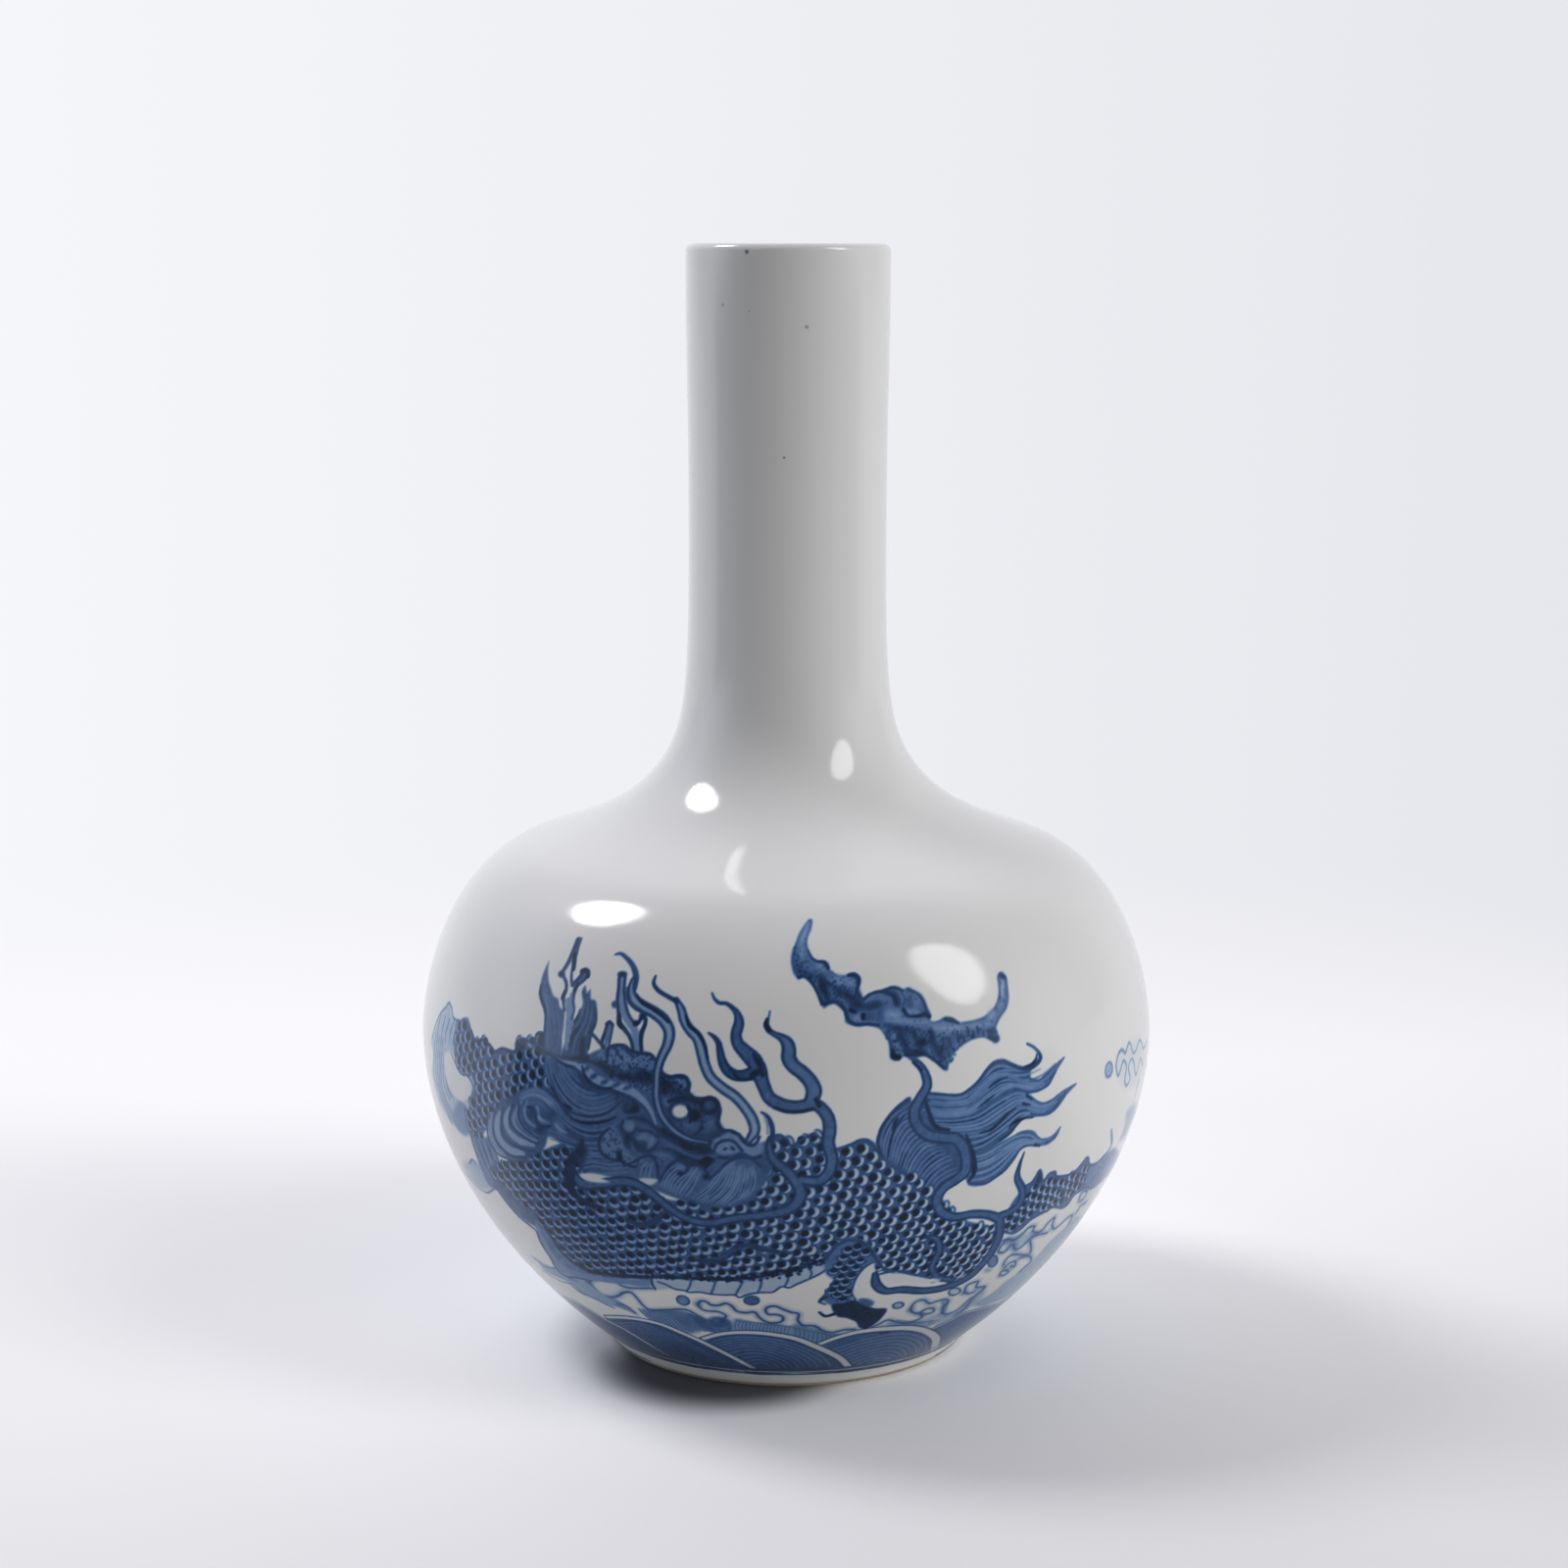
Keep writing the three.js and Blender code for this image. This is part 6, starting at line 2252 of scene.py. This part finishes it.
@dataclass(frozen=True)
class ClearGlaze:
    """Clear glaze on white porcelain, without painting.

    Its noises and bumps are given as the painted glaze's are.
    """

    name: str = "plain_glaze"
    white: tuple = (0.565, 0.59, 0.59)
    shade: tuple = (0.8, 0.88, 0.92)
    drift: tuple = (25.0, 3.0)
    drift_share: float = 0.5
    ripple: tuple = (60.0, 2.0)
    ripple_bump: tuple = (0.15, 0.0006)
    roughness: float = 0.09
    refraction: float = 1.5

    def make(self) -> bpy.types.Material:
        """Makes the material.

        Returns:
            The material.
        """
        n = Nodes(self.name)
        where = n.where()
        deep = [pale * share for pale, share in zip(self.white, self.shade)]
        drift = n.maths("MULTIPLY", n.noise(where, *self.drift), self.drift_share)
        colour = n.mix(drift, (*self.white, 1.0), (*deep, 1.0))
        ripple = n.bump(n.noise(where, *self.ripple), *self.ripple_bump)
        return n.finish(n.surface(colour, self.roughness, IOR=self.refraction, Normal=ripple))


@dataclass(frozen=True)
class Biscuit:
    """Bare fired porcelain, browned where the glaze ends. The edge is the span of heights of the browning."""

    name: str = "porcelain"
    pale: tuple = (0.58, 0.52, 0.44, 1.0)
    burnt: tuple = (0.2, 0.1, 0.045, 1.0)
    dust: tuple = (0.3, 0.24, 0.18, 1.0)
    edge: tuple = (0.0001, 0.0013)
    browned: tuple = (0.15, 0.85)
    grain: tuple = (700.0, 4.0)
    grain_share: float = 0.25
    grain_bump: tuple = (0.4, 0.0003)
    patch: tuple = (60.0, 3.0)
    patch_span: float = 1.1
    patch_least: float = 0.2
    roughness: float = 0.85

    def make(self) -> bpy.types.Material:
        """Makes the material.

        Returns:
            The material.
        """
        n = Nodes(self.name)
        where = n.where()
        grain = n.noise(where, *self.grain)
        patch = n.maths("MULTIPLY_ADD", n.noise(where, *self.patch), self.patch_span, self.patch_least)
        near = n.span(n.part(where, 2), *self.edge, *self.browned)
        colour = n.mix(n.maths("MULTIPLY", near, patch), self.pale, self.burnt)
        colour = n.mix(n.maths("MULTIPLY", grain, self.grain_share), colour, self.dust)
        return n.finish(n.surface(colour, self.roughness, Normal=n.bump(grain, *self.grain_bump)))


@dataclass(frozen=True)
class Slip:
    """The fired slip inside the luted joints."""

    name: str = "luting_slip"
    pale: tuple = (0.52, 0.46, 0.38, 1.0)
    dark: tuple = (0.36, 0.31, 0.25, 1.0)
    grain: tuple = (500.0, 4.0)
    grain_share: float = 0.4
    grain_bump: tuple = (0.5, 0.0003)
    roughness: float = 0.9

    def make(self) -> bpy.types.Material:
        """Makes the material.

        Returns:
            The material.
        """
        n = Nodes(self.name)
        grain = n.noise(n.where(), *self.grain)
        colour = n.mix(n.maths("MULTIPLY", grain, self.grain_share), self.pale, self.dark)
        return n.finish(n.surface(colour, self.roughness, Normal=n.bump(grain, *self.grain_bump)))


@dataclass(frozen=True)
class MapLayout:
    """How the glaze lies on its map, in shares of the map's side.

    There are two strips, the front's and over it the back's, each with the painted band first, then the
    plain neck and the inside. The seam is how far past a quarter turn, in radians, a front face may start
    and end.
    """

    painted: float = 0.41
    plain: float = 0.075
    inner: tuple = (0.076, 0.082)
    last_row: float = 0.003
    strip: float = 0.5
    side_margin: float = 0.01
    low_margin: float = 0.005
    slack: float = 1.03
    seam: tuple = (0.09, 0.12)


@dataclass
class Vase:
    """The outer glaze, which carries the painting.

    Sizes are in millimetres. The front reaches `front_past` radians past a quarter turn on both sides.
    """

    meridian: Meridian
    glaze_thickness: float = 0.4
    front_pitch: float = 0.36
    back_pitch: float = 0.5
    row_pitch: float = 0.34
    plain_row_pitch: float = 3.0
    painted_way: float = 176.0
    front_past: float = 0.1
    lip_rows: int = 12
    crest_gap: float = 0.05
    inner_step: int = 24
    rim_inset: float = 0.2
    slope_step: float = 0.05
    layout: MapLayout = MapLayout()
    coarse: float = 1.0

    def glaze(self, paint: "Painting") -> bpy.types.Object:
        """The outer glaze with its painting.

        Args:
            paint: The painting.

        Returns:
            The piece.
        """
        turns, painted, plain, lip = self.turns(), *self.rows()
        ways = np.concatenate([painted, plain, lip])
        outside = self.sunk(ways, 0.0)
        inner_ways = np.concatenate([ways[: len(painted) : self.inner_step], plain[1:], lip])[::-1]
        inside = self.sunk(inner_ways, self.glaze_thickness)
        section = np.vstack([outside, inside, outside[:1] - [self.rim_inset, 0.0]])
        made = Lathe("outer_glaze_painted", section, turns).build()
        ink = np.zeros((len(section), len(turns)), np.float32)
        ink[: len(ways)] = paint.ink_at(turns, ways)
        store = made.data.attributes.new(INK_NAME, "FLOAT", "POINT")
        store.data.foreach_set("value", ink.ravel())
        self.unroll(made, ways, turns, len(section))
        made.data.materials.append(PaintedGlaze().make())
        return made

    def turns(self) -> np.ndarray:
        """Angles of the mesh's columns, finer at the front.

        Returns:
            The angles round the axis, 0 at the front.
        """
        round_belly = self.meridian.belly.radius / self.coarse
        half = math.pi / 2 + self.front_past
        front = np.linspace(-half, half, 4 * round(half * round_belly / self.front_pitch / 2) + 1)
        count = round((math.pi - half) * 2 * round_belly / self.back_pitch)
        return np.concatenate([front, np.linspace(half, 2 * math.pi - half, count)[1:-1]])

    def rows(self) -> tuple[np.ndarray, np.ndarray, np.ndarray]:
        """Distances of the outside's rows along the section.

        Returns:
            Those of the painted band, of the plain neck and of the lip.
        """
        neck = self.meridian.ways[-1] - math.pi / 2 * self.meridian.lip_round
        painted = np.arange(0.0, self.painted_way, self.row_pitch * self.coarse)
        count = round((neck - self.painted_way) / self.plain_row_pitch / self.coarse**0.5)
        plain = np.linspace(self.painted_way, neck, count)
        return painted, plain, np.linspace(neck, self.meridian.ways[-1] - self.crest_gap, self.lip_rows)[1:]

    def unroll(self, made: bpy.types.Object, ways: np.ndarray, turns: np.ndarray, rows: int) -> None:
        """Gives the glaze its map.

        Args:
            made: The glaze.
            ways: Distances of the outside's rows along the section.
            turns: Angles of the columns.
            rows: Number of rows, those of the inside face too.
        """
        plan, cols, quarter = self.layout, len(turns), math.pi / 2
        v = np.interp(ways, [0, self.painted_way, ways[-1]], [0.0, plan.painted, plan.painted + plan.plain])
        inner = np.linspace(plan.painted + plan.inner[0], plan.painted + plan.inner[1], rows - len(ways))
        low = np.concatenate([v, inner])
        high = np.append(low[1:], low[-1] + plan.last_row)
        after = np.append(turns[1:], turns[0] + 2 * math.pi)
        in_front = (turns < quarter + plan.seam[0]) & (after < quarter + plan.seam[1])
        first, last = turns[0], turns[in_front][-1]
        strip = np.where(in_front, 0.0, plan.strip)
        start = np.where(in_front, first, last)
        widest = max(last - first, 2 * math.pi + first - last) * plan.slack
        uv = np.empty((rows, cols, 4, 2), np.float32)
        uv[:, :, (0, 3), 0] = plan.side_margin + ((turns - start) / widest)[None, :, None]
        uv[:, :, (1, 2), 0] = plan.side_margin + ((after - start) / widest)[None, :, None]
        uv[:, :, (0, 1), 1] = low[:, None, None] + strip[None, :, None] + plan.low_margin
        uv[:, :, (2, 3), 1] = high[:, None, None] + strip[None, :, None] + plan.low_margin
        layer = made.data.uv_layers.new(name="OFBake")
        layer.data.foreach_set("uv", uv.ravel())

    def sunk(self, ways: np.ndarray, depth: float) -> np.ndarray:
        """The outside moved inwards.

        Args:
            ways: Distances along the section.
            depth: How far it moves.

        Returns:
            Rows of radius and height.
        """
        section = self.meridian
        low = np.maximum(ways - self.slope_step, 0)
        high = np.minimum(ways + self.slope_step, section.ways[-1])
        spread = section.radius_at(high) - section.radius_at(low)
        rise = section.height_at(high) - section.height_at(low)
        run = np.stack([spread, rise], 1)
        run /= np.hypot(*run.T)[:, None]
        face = np.stack([section.radius_at(ways), section.height_at(ways)], 1)
        return face + np.stack([-run[:, 1], run[:, 0]], 1) * depth


@dataclass(frozen=True)
class SoftBox:
    """A soft light of the studio, placed by the direction in which the glaze mirrors it.

    Angles are in degrees and sizes in metres. The radiance is that of the box's face.
    """

    name: str
    azimuth: float
    height_angle: float
    wide: float
    high: float
    radiance: float
    aim: tuple
    distance: float = 2.0

    def build(self) -> None:
        """Makes the light."""
        lamp = bpy.data.lights.new(self.name, "AREA")
        lamp.shape = "ELLIPSE"
        lamp.size, lamp.size_y = self.wide, self.high
        lamp.energy = self.radiance * math.pi * self.wide * self.high * math.pi / 4
        spot = np.array(self.aim) + np.array(toward(self.azimuth, self.height_angle)) * self.distance
        turn = Matrix.Rotation(math.radians(self.azimuth), 4, "Z")
        tip = Matrix.Rotation(math.radians(90.0 - self.height_angle), 4, "X")
        placed(self.name, lamp).matrix_world = Matrix.Translation(spot) @ turn @ tip


@dataclass(frozen=True)
class Lobe:
    """A broad part of the room's light: a direction, how tightly it gathers there, and its radiance."""

    azimuth: float
    height_angle: float
    gather: float
    radiance: tuple
    mirrored: bool = True


def toward(azimuth: float, height_angle: float) -> tuple[float, float, float]:
    """The way to a direction.

    Args:
        azimuth: Its angle in degrees from the front, to the right.
        height_angle: Its angle in degrees above the level.

    Returns:
        Its unit vector.
    """
    az, el = math.radians(azimuth), math.radians(height_angle)
    return math.sin(az) * math.cos(el), -math.cos(az) * math.cos(el), math.sin(el)


@dataclass
class Studio:
    """The floor, the pale room, the lights and the camera.

    Distances are in metres and angles in degrees. The glow is the backdrop's colour at its middle and how its
    painted light changes it to the right. The paper is the floor as the camera sees it, with painted light:
    its painted bounce paleness at distances from the axis, its painted light slope across the picture and its
    level at the middle. The painted shadow is the dark under the left of the foot, a painted contact shadow.
    The dark and the front share say where and how much less of the floor's light reaches the glaze in front.
    """

    glow_middle: tuple = (0.852, 0.86, 0.895)
    backdrop_painted_falloff: tuple = (-0.25, -0.25, -0.24)
    glow_reach: float = 0.3
    floor_reach: float = 14.0
    floor_pale: tuple = (0.735, 0.735, 0.735, 1.0)
    floor_roughness: float = 0.8
    # painted light: the floor the camera sees is painted paler near the vase, standing in for light bounced
    # off it
    painted_bounce_paleness: tuple = (
        (0.056, 1.13),
        (0.075, 1.08),
        (0.1, 0.99),
        (0.14, 0.915),
        (0.2, 0.85),
        (0.3, 0.815),
    )
    # painted light: the seen floor is painted darker to the right and to the front, round a middle level
    painted_light_slope: tuple = (-0.1, 0.5, 0.0)
    painted_light_middle: float = 0.86
    # painted shadow: a dark blue patch painted on the seen floor under the left front of the foot, a painted
    # contact shadow
    painted_shadow_start: float = 0.0565
    painted_shadow_turn: float = -26.0
    painted_shadow_half: float = 40.0
    painted_shadow_depth: float = 0.021
    painted_shadow_fade: tuple = (0.35, 1.4)
    painted_shadow_dark: float = 0.1
    painted_shadow_tint: tuple = (0.012, 0.016, 0.032, 1.0)
    clear_radius: float = 0.28
    fade_radius: float = 0.85
    dark_front: tuple = (-0.3, -0.5)
    dark_mirrored: tuple = (0.0, -0.09)
    front_share: float = 0.12
    back_reach: tuple = (0.25, 0.75)
    film_width: float = 36.0
    lobes: tuple = (
        Lobe(63.0, 20.0, 12.0, (2.5, 2.42, 2.42), False),
        Lobe(205.0, 25.0, 12.0, (1.43, 1.45, 1.49)),
        Lobe(270.0, 5.0, 8.0, (1.22, 1.32, 1.44)),
        Lobe(85.0, 5.0, 8.0, (0.74, 0.78, 0.8)),
        Lobe(160.0, 35.0, 8.0, (1.1, 1.11, 1.1)),
        Lobe(270.0, 70.0, 6.0, (0.35, 0.31, 0.41), False),
        Lobe(90.0, 50.0, 8.0, (0.31, 0.28, 0.34)),
        Lobe(180.0, 5.0, 8.0, (0.48, 0.46, 0.51)),
        Lobe(240.0, 40.0, 12.0, (1.2, 1.18, 1.34)),
        Lobe(40.0, 8.0, 10.0, (0.48, 0.51, 0.41), False),
    )
    boxes: tuple = (
        SoftBox("left_box", -111.0, 52.5, 0.70, 0.66, 15.8, (-0.051, -0.076, 0.145)),
        SoftBox("right_box", 64.0, 37.5, 0.74, 1.12, 6.5, (0.043, -0.091, 0.132)),
    )
    view: PhotoView = field(default_factory=PhotoView)

    def build(self) -> None:
        """Makes everything round the vase."""
        bpy.context.scene.view_settings.view_transform = "Standard"
        self.floor()
        self.world()
        for box in self.boxes:
            box.build()
        self.camera()

    def floor(self) -> None:
        """The pale sweep that the vase stands on."""
        far = self.floor_reach
        mesh = bpy.data.meshes.new("floor")
        mesh.from_pydata([(-far, -far, 0), (far, -far, 0), (far, far, 0), (-far, far, 0)], [], [(0, 1, 2, 3)])
        mesh.materials.append(self.floor_finish())
        placed("floor", mesh)

    def floor_finish(self) -> bpy.types.Material:
        """The floor's material: paper near the vase, which runs into the glowing backdrop. The camera sees
        the paper with painted light and a painted contact shadow.

        Returns:
            The material.
        """
        n = Nodes("floor_paper")
        where = n.where()
        away = n.vector("LENGTH", where, result="Value")
        path = n.add("ShaderNodeLightPath").outputs
        far = n.span(away, self.clear_radius, self.fade_radius, eased=True)
        ahead = n.part(where, 1)
        unseen, mirrored = (
            n.span(ahead, past, near, self.front_share, eased=True)
            for near, past in (self.dark_front, self.dark_mirrored)
        )
        share = n.span(path["Is Glossy Ray"], 0.0, 1.0, unseen, mirrored)
        share = n.span(path["Is Camera Ray"], 0.0, 1.0, share, 1.0)
        dimmed = n.mix(share, (0.0, 0.0, 0.0, 1.0), self.floor_pale)
        colour = n.mix(path["Is Camera Ray"], dimmed, self.paper_with_painted_light(n, where, away))
        paper_with_painted_light = n.surface(colour, self.floor_roughness)
        from_camera = n.vector("ADD", where, (0.0, self.view.distance * MM, 0.0))
        glow = n.add("ShaderNodeEmission", None, Color=self.glow(n, from_camera), Strength=share).outputs[0]
        clear = n.maths("MAXIMUM", path["Is Glossy Ray"], path["Is Transmission Ray"])
        shown = n.maths("MAXIMUM", path["Is Camera Ray"], clear)
        both = n.add("ShaderNodeMixShader", None, i0=n.maths("MULTIPLY", far, shown), i1=paper_with_painted_light, i2=glow)
        return n.finish(both.outputs[0])

    def paper_with_painted_light(
        self, n: Nodes, where: bpy.types.NodeSocket, away: bpy.types.NodeSocket
    ) -> bpy.types.NodeSocket:
        """The floor's colour as the camera sees it, with painted light: painted paler round the vase and
        slanting across it, and a painted contact shadow where the foot closes on it.

        Args:
            n: The tree that the colour is made in.
            where: The place on the floor.
            away: Its distance from the vase's axis.

        Returns:
            The colour's socket.
        """
        # painted bounce light: the seen floor is painted paler near the vase
        pale = n.ramp(away, [(place, (level, level, level)) for place, level in self.painted_bounce_paleness])
        # painted contact shadow: dark under the left front of the foot, fading outwards
        turn = n.maths("ARCTAN2", n.part(where, 0), n.maths("MULTIPLY", n.part(where, 1), -1.0))
        half = math.radians(self.painted_shadow_half)
        off = n.maths("MULTIPLY_ADD", turn, 1.0 / half, -math.radians(self.painted_shadow_turn) / half)
        gap = n.maths("SUBTRACT", away, self.painted_shadow_start)
        deep = n.maths("MULTIPLY_ADD", gap, 1.0 / self.painted_shadow_depth, n.maths("MULTIPLY", off, off))
        core = n.span(deep, *self.painted_shadow_fade, self.painted_shadow_dark, eased=True)
        # painted light slope across the floor, which also scales the painted shadow
        lean = n.vector("DOT_PRODUCT", where, self.painted_light_slope, result="Value")
        level = n.maths("MULTIPLY", core, n.maths("ADD", lean, self.painted_light_middle))
        # the painted shadow's dark blue mixed with the painted paleness
        return n.mix(level, self.painted_shadow_tint, pale)

    def glow(self, n: Nodes, direction: bpy.types.NodeSocket) -> bpy.types.NodeSocket:
        """The backdrop's glowing colour, with painted light making it paler at the left.

        Args:
            n: The tree that the colour is made in.
            direction: A direction across the backdrop.

        Returns:
            The colour's socket.
        """
        aside = n.part(n.vector("NORMALIZE", direction), 0)
        reach = self.glow_reach
        held = n.add("ShaderNodeClamp", None, Value=aside, Min=-reach, Max=reach).outputs[0]
        levels = zip(self.backdrop_painted_falloff, self.glow_middle)
        # painted light: each channel of the glow falls off from the left to the right
        red, green, blue = (n.maths("MULTIPLY_ADD", held, slope, middle) for slope, middle in levels)
        return n.add("ShaderNodeCombineColor", None, i0=red, i1=green, i2=blue).outputs[0]

    def world(self) -> None:
        """The pale room to the camera, and broad lobes of light to everything else."""
        world = bpy.data.worlds.new("room")
        bpy.context.scene.world = world
        n = Nodes("room", world)
        direction = n.add("ShaderNodeTexCoord").outputs["Generated"]
        path = n.add("ShaderNodeLightPath").outputs
        light = (0.0, 0.0, 0.0)
        for lobe in self.lobes:
            middle = toward(lobe.azimuth, lobe.height_angle)
            facing = n.vector("DOT_PRODUCT", direction, middle, result="Value")
            share = n.maths("POWER", n.maths("MAXIMUM", facing, 0.0), lobe.gather)
            if not lobe.mirrored:
                share = n.maths("MULTIPLY", share, n.maths("SUBTRACT", 1.0, path["Is Glossy Ray"]))
            part = n.add("ShaderNodeVectorMath", {"operation": "SCALE"}, i0=lobe.radiance, Scale=share)
            light = n.vector("ADD", light, part.outputs[0])
        back = n.span(n.part(direction, 1), *self.back_reach, eased=True)
        clear = n.maths("MAXIMUM", path["Is Glossy Ray"], path["Is Transmission Ray"])
        seen = n.maths("MAXIMUM", path["Is Camera Ray"], n.maths("MULTIPLY", back, clear))
        colour = n.mix(seen, light, self.glow(n, direction))
        room = n.add("ShaderNodeBackground", None, Color=colour, Strength=1.0)
        n.add("ShaderNodeOutputWorld", None, Surface=room.outputs[0])

    def camera(self) -> None:
        """The camera where the photograph was taken from."""
        lens = bpy.data.cameras.new("camera")
        lens.sensor_width = self.film_width
        lens.lens = self.view.focal / self.view.frame * lens.sensor_width
        made = placed("camera", lens)
        spot = Matrix.Translation((self.view.aside * MM, -self.view.distance * MM, self.view.height * MM))
        tip = Matrix.Rotation(math.radians(90.0 - self.view.pitch), 4, "X")
        made.matrix_world = spot @ tip @ Matrix.Rotation(math.radians(self.view.roll), 4, "Z")
        bpy.context.scene.camera = made


@dataclass
class Piece:
    """A hidden or plain part of the vase, turned finely from the section of its CAD node.

    Points of the node are the same when they agree to so many digits of a metre, and lie in the section
    when they are no further from it than the gap.
    """

    node: str
    slot: str
    finish: Union[Biscuit, Slip, ClearGlaze]
    turns: int = 360
    digits: int = 6
    section_gap: float = 1e-6

    def build(self, source: bpy.types.Object) -> bpy.types.Object:
        """Turns the piece.

        Args:
            source: The CAD node's object.

        Returns:
            The piece.
        """
        turns = np.linspace(0, 2 * math.pi, self.turns, endpoint=False)
        made = Lathe(f"{self.node}_turned", self.section(source), turns).build()
        made.data.materials.append(self.finish.make())
        return made

    def section(self, source: bpy.types.Object) -> np.ndarray:
        """Walks round the node's section, from its widest point on.

        Args:
            source: The CAD node's object.

        Returns:
            Rows of radius and height, in millimetres.
        """
        spots = np.empty(len(source.data.vertices) * 3, np.float32)
        source.data.vertices.foreach_get("co", spots)
        spots = spots.reshape(-1, 3).astype(float)
        keys = [tuple(spot) for spot in np.round(spots, self.digits)]
        gap = self.section_gap
        flat = {k for k, (x, y, _z) in enumerate(spots) if abs(y) < gap and x > -gap}
        near: dict = {}
        for edge in source.data.edges:
            a, b = edge.vertices
            if a in flat and b in flat and keys[a] != keys[b]:
                near.setdefault(keys[a], set()).add(keys[b])
                near.setdefault(keys[b], set()).add(keys[a])
        start = max(near, key=lambda key: (key[0], key[2]))
        walk = [start]
        while True:
            following = [key for key in near[walk[-1]] if key not in walk[-2:]]
            if not following or following[0] == start:
                break
            walk.append(following[0])
        return np.array([(key[0], key[2]) for key in walk]) / MM


def main() -> None:
    """Builds the vase and its studio."""
    logging.basicConfig(level=logging.INFO, format="%(message)s")
    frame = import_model()
    meridian = Meridian()
    painting = Painting(Surface(meridian, PhotoView()))
    log.info("painting drawn")
    vase = Vase(meridian, coarse=1.0)
    glaze = vase.glaze(painting)
    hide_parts("outer_glaze")
    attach(glaze, "root")
    log.info("outer_glaze: %d faces", len(glaze.data.polygons))
    pieces = (
        Piece("lower_body", "porcelain", Biscuit()),
        Piece("upper_body", "porcelain", Biscuit()),
        Piece("neck", "porcelain", Biscuit()),
        Piece("waist_luting_slip", "luting_slip", Slip()),
        Piece("neck_luting_slip", "luting_slip", Slip()),
        Piece("inner_glaze", "plain_glaze", ClearGlaze()),
        Piece("foot_well_glaze", "plain_glaze", ClearGlaze()),
    )
    for piece in pieces:
        made = piece.build(frame["nodes"][piece.node])
        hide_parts(piece.node)
        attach(made, "root")
        log.info("%s: %d faces", piece.node, len(made.data.polygons))
    Studio().build()
    log.info("studio built")


if __name__ == "__main__":
    main()
